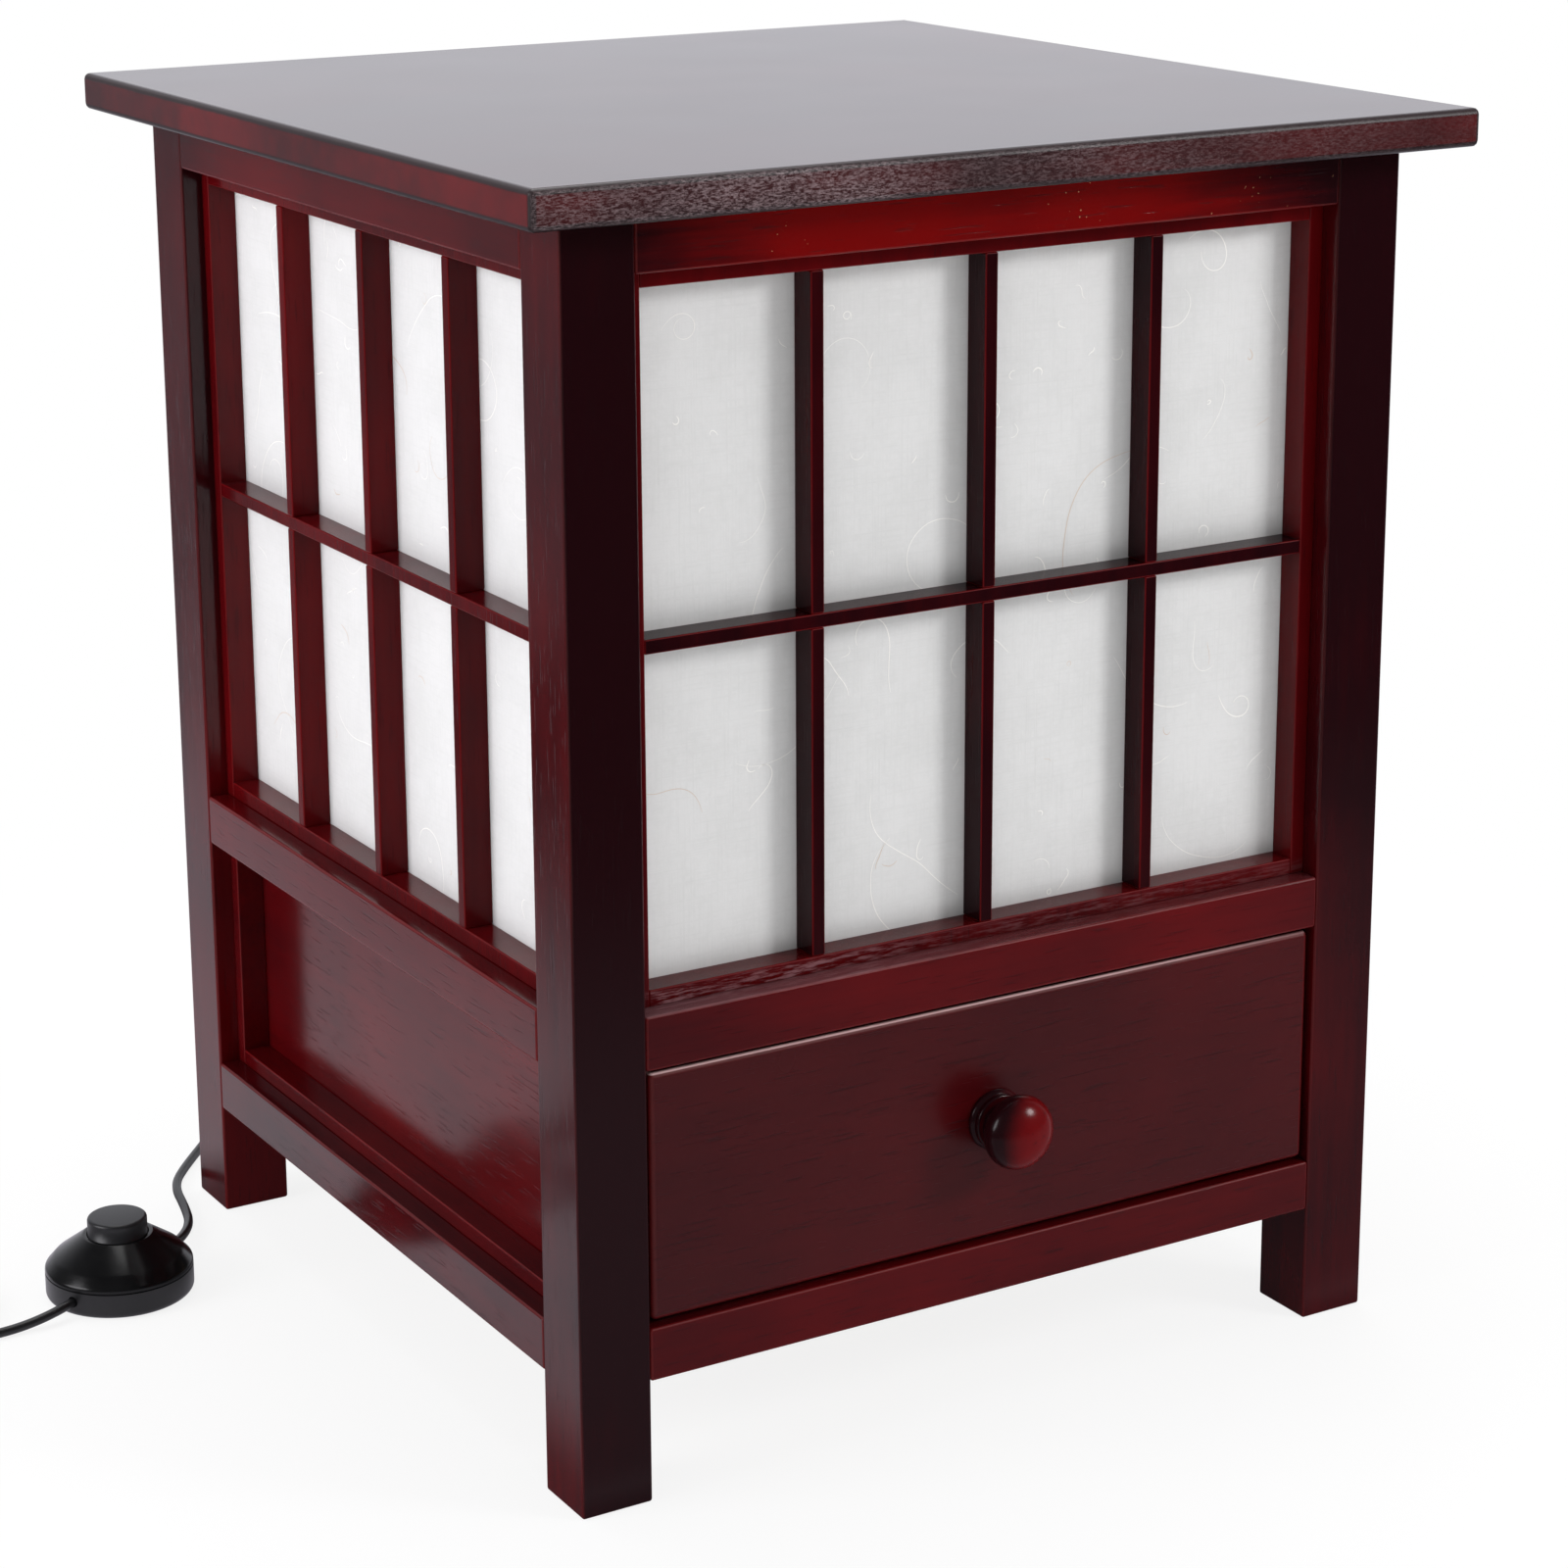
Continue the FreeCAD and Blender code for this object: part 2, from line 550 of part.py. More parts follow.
def make_drawer_box():
    """Sides with grooves, the bottom that slides into them, and the back that stands on the bottom."""
    inner = f"({DRAWER_SIDE_X} - drawer_side_thick)"
    deep = (f"-{DRAWER_BACK_Y}", f"-{DRAWER_BACK_Y} + drawer_length")
    high = f"{DRAWER_LOW} + drawer_side_height"
    slot = (f"{DRAWER_LOW} + drawer_bottom_raise", f"{DRAWER_LOW} + drawer_bottom_raise + drawer_bottom_thick")
    for label, sign in (("drawer_side_left", "-"), ("drawer_side_right", "")):
        across = sorted((f"{sign}{inner}", f"{sign}{DRAWER_SIDE_X}"), key=size)
        side = board(label, across, deep, (DRAWER_LOW, high))
        groove = side.sketch("XZ_Plane", f"-({deep[1]})")
        edges = sorted((f"{sign}{inner}", f"{sign}({inner} + drawer_groove)"), key=size)
        side.rectangle(groove, edges[0], edges[1], slot[0], slot[1])
        side.pocket(groove, "drawer_length", backwards=True)
    reach = f"({inner} + drawer_groove)"
    board("drawer_bottom", (f"-{reach}", reach), (f"-{DRAWER_BACK_Y} - drawer_groove", deep[1]), slot)
    board("drawer_back", (f"-{inner}", inner), (f"{deep[1]} - drawer_side_thick", deep[1]), (slot[1], high))


def make_knob():
    """Turned knob: a collar of two beads, a neck and a flattened ball, bored for its screw."""
    outward = FreeCAD.Rotation(Vector(1, 0, 0), 90)
    face = Vector(0, -size(f"{DRAWER_BACK_Y} + drawer_front_thick"), size(KNOB_Z))
    ball_half = "(knob_length - ball_mid)"
    turned("drawer_knob", (
        ("knob_bore", "0"), ("collar_radius - 1.2", "0"), ("collar_radius - 1.2", "collar_depth", "1.7"),
        ("bead_radius - 1", "collar_depth"), ("bead_radius - 1", "bead_end", "1.3"),
        ("neck_radius", "bead_end + 0.6"), ("neck_radius", "ball_start"),
        ("ball_radius*0.82", f"ball_mid - {ball_half}*0.572", "ball_radius*0.65"),
        ("ball_radius*0.82", f"ball_mid + {ball_half}*0.572", "ball_radius*0.472"),
        ("ball_radius*0.5", f"ball_mid + {ball_half}*0.866", "ball_radius*0.96"),
        ("0", "knob_length", dome("ball_radius*0.5", f"{ball_half}*0.134")), ("0", "knob_bore_depth"),
        ("knob_bore", "knob_bore_depth"),
    ), FreeCAD.Placement(face, outward))
    back = Vector(0, -size(DRAWER_BACK_Y), size(KNOB_Z))
    turned("knob_screw", (
        ("0", "-screw_head_thick"), ("screw_head", "-screw_head_thick + 0.8"), ("screw_head", "0"),
        ("knob_bore", "0"), ("knob_bore", "drawer_front_thick + knob_bore_depth - 1"),
        ("0", "drawer_front_thick + knob_bore_depth - 1"),
    ), FreeCAD.Placement(back, outward))


# Light and inner lead


def make_light():
    """Lampholder screwed to the lamp floor, with its bulb."""
    at = FreeCAD.Placement(Vector(0, 0, size(FLOOR_TOP)), FreeCAD.Rotation())
    bore_low = "(holder_height - socket_depth)"
    holder = turned("lampholder", (
        ("cord_radius + 1", "0"), ("holder_flange", "0"), ("holder_flange", "holder_flange_thick - 2"),
        ("holder_flange - 2", "holder_flange_thick", "2"), ("holder_radius + 2", "holder_flange_thick"),
        ("holder_radius", "holder_flange_thick + 2", "-2"), ("holder_radius", "holder_height - 3"),
        ("holder_radius - 3", "holder_height", "3"), ("socket_radius", "holder_height"),
        ("socket_radius", bore_low), ("cord_radius + 1", bore_low),
    ), at)
    holes = holder.sketch("XY_Plane", "holder_flange_thick")
    for across in ("-holder_screw_x", "holder_screw_x"):
        holder.circle(holes, across, "0", "screw_radius")
    holder.pocket(holes, "holder_flange_thick")
    screws = []
    for name, sign in (("holder_screw_left", "-"), ("holder_screw_right", "")):
        place = Vector(size(f"{sign}holder_screw_x"), 0, size(f"{FLOOR_TOP} + holder_flange_thick"))
        screws.append(turned(name, (
            ("0", "-13"), ("screw_radius", "-13"), ("screw_radius", "0"), ("screw_head", "0"),
            ("screw_head", "screw_head_thick/2"),
            ("0", "screw_head_thick", dome("screw_head", "screw_head_thick/2")),
        ), FreeCAD.Placement(place, FreeCAD.Rotation()), is_part=False))
    group("lampholder_screws", screws)
    turned("bulb_cap", (
        ("0", bore_low), ("5", bore_low), ("cap_radius", f"{bore_low} + 5"),
        ("cap_radius", "holder_height + 1"), ("0", "holder_height + 1"),
    ), at)
    turned("bulb_glass", (
        ("0", "holder_height + 1"), ("cap_radius", "holder_height + 1"),
        ("cap_radius + 0.8", "holder_height + 10"),
        ("bulb_radius - 6", "holder_height + bulb_height - bulb_radius - 22", "-110"),
        ("bulb_radius", "holder_height + bulb_height - bulb_radius", "43.5"),
        ("0", "holder_height + bulb_height", "30"),
    ), at)


def tube(label, points, smallest):
    """Round lead along straight runs joined by tangent arcs, as large as the runs allow.

    An arc's radius is 0.45 of the shorter of its two runs over the tangent of half its turn. The
    smallest radius is printed and has to reach the given one.
    """
    radius = size("cord_radius")
    edges, radii, last = [], [], points[0]
    for before, corner, after in zip(points, points[1:], points[2:]):
        back, on = before - corner, after - corner
        shorter = min(back.Length, on.Length)
        turn = math.pi - back.getAngle(on)
        radii.append(0.45 * shorter / math.tan(turn / 2))
        start = corner + Vector(back).normalize() * 0.45 * shorter
        end = corner + Vector(on).normalize() * 0.45 * shorter
        inward = (Vector(back).normalize() + Vector(on).normalize()).normalize()
        centre = corner + inward * (radii[-1] / math.cos(turn / 2))
        edges.append(Part.LineSegment(last, start).toShape())
        edges.append(Part.Arc(start, centre - inward * radii[-1], end).toShape())
        last = end
    edges.append(Part.LineSegment(last, points[-1]).toShape())
    path = Part.Wire(edges)
    ring = Part.Wire(Part.Circle(points[0], points[1] - points[0], radius).toShape())
    solid = path.makePipeShell([ring], True, False)
    ratio = solid.Volume / (math.pi * radius ** 2 * path.Length)
    print(f"{label}: length {path.Length:.1f}, radii {[round(r) for r in radii]}, volume ratio {ratio:.4f}")
    if min(radii) < smallest or abs(ratio - 1) > 0.01:
        raise RuntimeError(f"{label} bends too tightly or doesn't fill its path")
    feature = doc.addObject("Part::Feature", "Tube")
    feature.Label = label
    feature.Shape = solid
    feature.Placement = FreeCAD.Placement()
    parts.append(feature)


def sleeve_tip():
    """Point at which the cord leaves the strain relief behind the cabinet."""
    return Vector(-size("exit_x"), size(f"{FACE} + sleeve_reach"), size("exit_z"))


def make_inner_lead():
    """Strain relief moulded on the cord in the rear rail, and the lead from it to the lampholder."""
    place = Vector(-size("exit_x"), size(FACE), size("exit_z"))
    outward = FreeCAD.Rotation(Vector(1, 0, 0), -90)
    turned("cord_strain_relief", (
        ("0", "-rail_thick"), ("sleeve_radius", "-rail_thick"), ("sleeve_radius", "0"),
        ("sleeve_flange", "0"), ("sleeve_flange", "sleeve_flange_thick - 1"),
        ("sleeve_flange - 1", "sleeve_flange_thick", "1"), ("sleeve_radius + 0.5", "sleeve_flange_thick"),
        ("sleeve_tip", "sleeve_reach"), ("0", "sleeve_reach"),
    ), FreeCAD.Placement(place, outward))
    x, y, z = -size("exit_x"), size("inner_run_y"), size("inner_run_z")
    tube("inner_lead", (
        Vector(x, size(RAIL_IN), size("exit_z")),
        Vector(x, y, size("exit_z")),
        Vector(x, y, z),
        Vector(0, 0, z),
        Vector(0, 0, size(f"{FLOOR_TOP} + 14")),
    ), 2 * size("cord_radius"))


# Foot switch


def switch_place():
    """Placement of the foot switch, turned so that its local X is the line of its cords."""
    return turned_by(size("switch_turn"), Vector(size("switch_x"), size("switch_y"), 0))


def on_switch_line(reach, height):
    """Point on the switch's cord line, so far from its axis and so high."""
    return switch_place().multVec(Vector(reach, 0, height))


def make_switch():
    """Foot switch: lower housing, domed cover, sprung button, click module and two screws."""
    at = switch_place()
    inside = "(switch_radius - switch_wall)"
    base = turned("switch_base", (
        ("0", "0"), ("switch_foot", "0"), ("switch_radius", "2.5", "2.6"), ("switch_radius", "base_height"),
        (inside, "base_height"), (inside, "switch_wall"), ("0", "switch_wall"),
    ), at)
    cords = base.sketch("YZ_Plane")
    base.circle(cords, "0", "switch_cord_z", "cord_radius + 0.3")
    base.pocket(cords, "2*switch_radius + 2", middle=True)
    heads = base.sketch("XY_Plane")
    for deep in ("-pillar_y", "pillar_y"):
        base.circle(heads, "0", deep, "pillar_radius")
    base.pocket(heads, "1.2", backwards=True)
    shanks = base.sketch("XY_Plane")
    for deep in ("-pillar_y", "pillar_y"):
        base.circle(shanks, "0", deep, "1.4")
    base.pocket(shanks, "switch_wall", backwards=True)

    hole = "(button_radius + button_play)"
    cover = turned("switch_cover", (
        ("switch_radius", "base_height"), ("switch_radius", "base_height + 0.5"),
        ("switch_radius - 2.5", "base_height + 3.2", "2.9"), ("cover_rim", "cover_top"), (hole, "cover_top"),
        (hole, "cover_top - switch_wall"), ("cover_rim - 0.5", "cover_top - switch_wall"),
        ("switch_radius - 5.2", "base_height + 3"), (inside, "base_height + 0.6", "-4"),
        (inside, "base_height"),
    ), at)
    pillars = cover.sketch("XY_Plane", "switch_wall")
    for deep in ("-pillar_y", "pillar_y"):
        cover.circle(pillars, "0", deep, "pillar_radius")
    cover.pad(pillars, "base_height + 4")
    threads = cover.sketch("XY_Plane", "switch_wall")
    for deep in ("-pillar_y", "pillar_y"):
        cover.circle(threads, "0", deep, "1.4")
    cover.pocket(threads, "8", backwards=True)

    cup = "(button_radius - 1.8)"
    ceiling = "(button_top - 2)"
    turned("switch_button", (
        ("0", "stem_low"), ("stem_radius", "stem_low"), ("stem_radius", ceiling), (cup, ceiling),
        (cup, "button_low"), ("button_flange", "button_low"), ("button_flange", "button_low + 1.5"),
        ("button_radius", "button_low + 1.5"), ("button_radius", "button_top - 1.6"),
        ("button_radius - 1.5", "button_top - 0.3", "1.6"),
        ("0", "button_top", dome("button_radius - 1.5", "0.3")),
    ), at)

    module = board("switch_module", ("-module_half", "module_half"), ("-module_width/2", "module_width/2"),
                   ("switch_wall", "module_top"), at)
    module.ease("Fillet", "1", lambda edge: along(edge, "z"))
    bore = module.sketch("XY_Plane", "module_top")
    module.circle(bore, "0", "0", "stem_radius + 0.4")
    module.pocket(bore, "module_top - 10")

    screws = []
    for name, deep in (("switch_screw_front", "-pillar_y"), ("switch_screw_rear", "pillar_y")):
        place = at.multiply(FreeCAD.Placement(Vector(0, size(deep), 0), FreeCAD.Rotation()))
        screws.append(turned(name, (
            ("0", "0.2"), ("pillar_radius - 0.2", "0.2"), ("pillar_radius - 0.2", "1.2"), ("1.4", "1.2"),
            ("1.4", "9"), ("0", "9"),
        ), place, is_part=False))
    group("switch_screws", screws)


# Cords and plug


def make_cords():
    """Cord from the cabinet to the switch, cord on towards the plug, and its put-away coil."""
    height = size("switch_cord_z")
    reach = size("module_half")
    limp = 5 * size("cord_radius")
    tube("cord_to_switch", (
        sleeve_tip(),
        Vector(-140, 220, 57.5),
        Vector(-141, 229.5, 49),
        Vector(-144, 235.5, 36),
        Vector(-148, 238.5, 22),
        Vector(-152.5, 237, 10),
        Vector(-159, 231.5, 3.6),
        Vector(-167, 223.5, 2.1),
        Vector(-175.5, 213.5, 2),
        Vector(-184, 203, 2),
        Vector(-191.5, 192.5, 2),
        Vector(-196, 181, 2),
        Vector(-198.3, 169.5, 2),
        Vector(-200.8, 158.5, 2),
        Vector(-203.9, 147.5, 2.2),
        Vector(-210.3, 134.5, 3.6),
        on_switch_line(38, height - 0.4),
        on_switch_line(reach, height),
    ), limp)
    tube("cord_to_plug", (
        on_switch_line(-reach, height),
        on_switch_line(-37, height - 0.5),
        Vector(-303, 80.9, 2.5),
        Vector(-319, 80.4, 2),
        Vector(size("coil_x") + 12.8, size("coil_y - coil_mid_radius - coil_half_width + cord_radius"), 2),
    ), limp)
    centre = FreeCAD.Placement(Vector(size("coil_x"), size("coil_y"), 0), FreeCAD.Rotation())
    inner, outer = "(coil_mid_radius - coil_half_width)", "(coil_mid_radius + coil_half_width)"
    turned("cord_coil", (
        (f"{inner} + 2", "0", "2"), (f"{outer} - 2", "0"), (outer, "2", "2"),
        (outer, "coil_height - 3"), (f"{outer} - 3", "coil_height", "3"),
        (f"{inner} + 3", "coil_height"), (inner, "coil_height - 3", "3"), (inner, "2"),
    ), centre)


def make_plug():
    """Flat two-blade plug beside the coil: a tapered tail, a waisted body and its blades."""
    x = size("coil_x - coil_mid_radius - coil_half_width + cord_radius")
    z = size("plug_thick/2")
    along_y = FreeCAD.Placement(Vector(x, size("plug_y"), z), FreeCAD.Rotation())
    body = Piece("plug_body", along_y)
    half, deep = "(plug_width/2)", "(plug_thick/2)"
    shell = body.sketch("XY_Plane", f"-{deep}")
    body.outline(shell, (
        ("-5", "plug_tail", "9"), ("5", "plug_tail"), (half, "plug_tail + 7", "9"),
        (half, "plug_tail + plug_length"), (f"-{half}", "plug_tail + plug_length"),
        (f"-{half}", "plug_tail + 7"),
    ))
    body.pad(shell, "plug_thick")
    body.ease("Fillet", "2.5", lambda edge: lies_at(edge, "z", size(deep)) or lies_at(edge, "z", -size(deep)))
    tail = body.sketch("XY_Plane")
    body.outline(tail, (("0", "0"), ("cord_radius + 0.6", "0"), ("5", "plug_tail + 1"),
                        ("0", "plug_tail + 1")))
    relief = body.body.newObject("PartDesign::Revolution", "Tail")
    relief.Profile = tail
    relief.ReferenceAxis = (tail, ["V_Axis"])
    relief.Angle = 360
    doc.recompute()
    blades = []
    for name, sign in (("blade_left", "-"), ("blade_right", "")):
        middle = f"({sign}blade_pitch/2)"
        blade = board(name, (f"{middle} - blade_thick/2", f"{middle} + blade_thick/2"),
                      ("plug_tail + plug_length", "plug_tail + plug_length + blade_length"),
                      ("-blade_width/2", "blade_width/2"), is_part=False)
        tip = size("plug_tail + plug_length + blade_length")
        blade.ease("Fillet", "1.4", lambda edge: along(edge, "x") and lies_at(edge, "y", tip))
        blades.append(blade)
    group("plug_blades", blades, along_y)


def check_and_write():
    """Stop on any failed object or bad shape, then write each sub-part to its own STEP file."""
    doc.recompute()
    failed = [item.Label for item in doc.Objects if {"Invalid", "Error"} & set(item.State)]
    bad = [part.Label for part in parts if part.Shape.isNull() or not part.Shape.isValid()]
    if failed or bad:
        raise RuntimeError(f"failed: {failed}, bad shapes: {bad}")
    os.makedirs("parts", exist_ok=True)
    for part in parts:
        part.Shape.exportStep(os.path.join("parts", f"{part.Label}.step"))
    print(f"{len(parts)} sub-parts written")


make_top()
for corner, spin in CORNERS.items():
    make_leg(f"leg_{corner}", spin)
make_rails()
make_windows()
make_lower_panels()
make_lamp_floor()
make_runners()
make_drawer_front()
make_drawer_box()
make_knob()
make_light()
make_inner_lead()
make_switch()
make_cords()
make_plug()
check_and_write()
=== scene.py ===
"""Looks of a shoji lamp table: lacquered frame, papered lattice windows, drawer and foot switch.

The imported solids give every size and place, in metres, with Z up and the drawer towards -Y. Each
sub-assembly is a class that shapes its own visible surfaces and dresses them. A finish is a frozen
dataclass that makes one node material.
"""
from __future__ import annotations

import json
import logging
import math
from dataclasses import dataclass
from enum import Enum
from functools import cache
from typing import Any, Sequence

import bmesh
import bpy
import numpy as np
from mathutils import Matrix, Vector

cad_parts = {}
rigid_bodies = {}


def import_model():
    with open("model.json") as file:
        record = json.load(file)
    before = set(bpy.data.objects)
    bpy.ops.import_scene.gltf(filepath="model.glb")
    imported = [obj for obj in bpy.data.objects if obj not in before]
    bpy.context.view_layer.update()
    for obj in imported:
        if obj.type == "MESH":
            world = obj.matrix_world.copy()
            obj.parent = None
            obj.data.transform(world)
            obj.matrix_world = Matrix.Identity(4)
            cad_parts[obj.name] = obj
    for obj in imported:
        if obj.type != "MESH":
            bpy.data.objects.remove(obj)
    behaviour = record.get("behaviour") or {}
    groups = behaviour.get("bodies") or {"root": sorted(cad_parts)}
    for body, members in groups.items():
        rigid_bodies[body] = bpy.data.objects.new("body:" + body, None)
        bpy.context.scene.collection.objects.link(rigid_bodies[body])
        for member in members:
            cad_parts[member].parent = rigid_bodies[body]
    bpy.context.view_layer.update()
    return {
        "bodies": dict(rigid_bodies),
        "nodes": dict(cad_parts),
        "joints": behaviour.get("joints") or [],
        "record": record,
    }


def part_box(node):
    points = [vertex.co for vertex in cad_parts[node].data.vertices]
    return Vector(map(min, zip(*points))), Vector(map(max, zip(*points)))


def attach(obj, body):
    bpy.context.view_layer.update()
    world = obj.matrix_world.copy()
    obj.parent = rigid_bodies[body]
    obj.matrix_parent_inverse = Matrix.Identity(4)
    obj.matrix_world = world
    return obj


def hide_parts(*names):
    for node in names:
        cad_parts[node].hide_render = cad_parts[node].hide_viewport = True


log = logging.getLogger("shoji_lamp_table")

MM = 0.001
MERGE = 1e-7
ARRIS_SPAN = 0.13
MIDDLE = (-0.05, 0.05)
WHITE = (1.0, 1.0, 1.0, 1.0)
Point = tuple[float, float, float]
Colour = tuple[float, float, float, float]
Piece = bpy.types.Object
Finish = bpy.types.Material


class Side(Enum):
    """A side of the cabinet, with the angle that turns a front piece onto it."""

    FRONT = 0
    RIGHT = 90
    BACK = 180
    LEFT = 270

    @property
    def word(self) -> str:
        """The side's name in node names."""
        return self.name.lower()

    @property
    def turn(self) -> Matrix:
        """Turn about the vertical axis, from the front to this side."""
        return Matrix.Rotation(math.radians(self.value), 4, "Z")


class Grain(Enum):
    """Direction in which a piece's wood grain runs, as the stretch of the pattern along X, Y and Z."""

    ALONG_X = (0.06, 1.0, 1.0)
    ALONG_Y = (1.0, 0.06, 1.0)
    ALONG_Z = (1.0, 1.0, 0.06)


# Shader maths


@dataclass(eq=False)
class Socket:
    """A node's output, which adds Math nodes as it is calculated with."""

    nodes: "Nodes"
    link: Any

    def _math(self, operation: str, *values: Any) -> "Socket":
        """Add a Math node on these values."""
        return self.nodes.add("Math", values, operation=operation)

    def __add__(self, other: Any) -> "Socket":
        """Sum."""
        return self._math("ADD", self, other)

    __radd__ = __add__

    def __mul__(self, other: Any) -> "Socket":
        """Product."""
        return self._math("MULTIPLY", self, other)

    __rmul__ = __mul__

    def __sub__(self, other: Any) -> "Socket":
        """Difference."""
        return self._math("SUBTRACT", self, other)

    def __rsub__(self, other: Any) -> "Socket":
        """Difference from a number on the left."""
        return self._math("SUBTRACT", other, self)

    def absolute(self) -> "Socket":
        """Absolute value."""
        return self._math("ABSOLUTE", self)

    def maximum(self, other: Any) -> "Socket":
        """The larger of two values."""
        return self._math("MAXIMUM", self, other)

    def step(self, low: float, high: float) -> "Socket":
        """Smooth step, from 0 at the low value to 1 at the high one."""
        values = {"Value": self, "From Min": low, "From Max": high}
        return self.nodes.add("MapRange", values, interpolation_type="SMOOTHSTEP")


class Nodes:
    """The nodes of one material or world."""

    def __init__(self, name: str, world: bpy.types.World | None = None) -> None:
        """Make an empty material, or empty a world.

        Args:
            name: Name of the material.
            world: The world, where the nodes are for one.
        """
        self.material = world or bpy.data.materials.new(name)
        self.material.use_nodes = True
        self.tree = self.material.node_tree
        self.tree.nodes.clear()

    def add(self, kind: str, values: dict | Sequence = (), output: int | str = 0, **settings: Any) -> Socket:
        """Add one node.

        Args:
            kind: Type of the node, without ShaderNode.
            values: Numbers, colours or sockets for its inputs, by name or in order.
            output: Output to return.
            settings: Properties of the node, set before its inputs.

        Returns:
            The chosen output.
        """
        node = self.tree.nodes.new(f"ShaderNode{kind}")
        for key, value in settings.items():
            setattr(node, key, value)
        pairs = values.items() if isinstance(values, dict) else enumerate(values)
        for key, value in pairs:
            if isinstance(value, Socket):
                self.tree.links.new(value.link, node.inputs[key])
            else:
                node.inputs[key].default_value = value
        return Socket(self, node.outputs[output])

    def place(self, scale: Sequence[float] = (1, 1, 1)) -> Socket:
        """Object coordinates in metres, scaled."""
        coordinates = self.add("TexCoord", output="Object")
        return self.add("Mapping", {"Vector": coordinates, "Scale": scale})

    def along(self, axis: str) -> Socket:
        """Object coordinate along one axis, in metres."""
        return self.add("SeparateXYZ", [self.place()], axis)

    def attribute(self, name: str) -> Socket:
        """Number that the mesh holds at each point."""
        return self.add("Attribute", output="Fac", attribute_name=name)

    def ray(self, kind: str) -> Socket:
        """One for rays of a kind, such as Camera or Glossy, and zero for others."""
        return self.add("LightPath", output=f"Is {kind} Ray")

    def noise(self, scale: float, detail: float = 2.0, rough: float = 0.5,
              stretch: Sequence[float] = (1, 1, 1)) -> Socket:
        """Noise between 0 and 1, of a scale in waves per metre, which stretch multiplies along each axis."""
        values = {"Vector": self.place(stretch), "Scale": scale, "Detail": detail, "Roughness": rough}
        return self.add("TexNoise", values, "Fac")

    def mix(self, share: Any, first: Any, second: Any) -> Socket:
        """Colour between two colours, by the share of the second."""
        return self.add("Mix", {0: share, 6: first, 7: second}, 2, data_type="RGBA")

    def bump(self, height: Socket, depth: float, strength: float, under: Socket | None = None,
             invert: bool = False) -> Socket:
        """Normal bent by a height.

        Args:
            height: The height, from 0 to 1.
            depth: What a height of 1 stands for, in metres.
            strength: Share of the bend.
            under: Normal that is bent, where it isn't the surface's own.
            invert: Whether the height goes inwards.

        Returns:
            The normal.
        """
        values = {"Height": height, "Distance": depth, "Strength": strength}
        if under is not None:
            values["Normal"] = under
        return self.add("Bump", values, invert=invert)

    def facing(self, axis: str) -> Socket:
        """Part of the surface's direction along one axis of the object."""
        return self.add("SeparateXYZ", [self.add("TexCoord", output="Normal")], axis)

    def close(self, shader: Socket, kind: str = "Material") -> Finish | bpy.types.World:
        """Feed a shader into the output of the material or the world, and return that."""
        self.tree.links.new(shader.link, self.tree.nodes.new(f"ShaderNodeOutput{kind}").inputs["Surface"])
        return self.material

    def finish(self, values: dict[str, Any]) -> Finish:
        """Close the material with a Principled shader of these values."""
        return self.close(self.add("BsdfPrincipled", values))


# Finishes


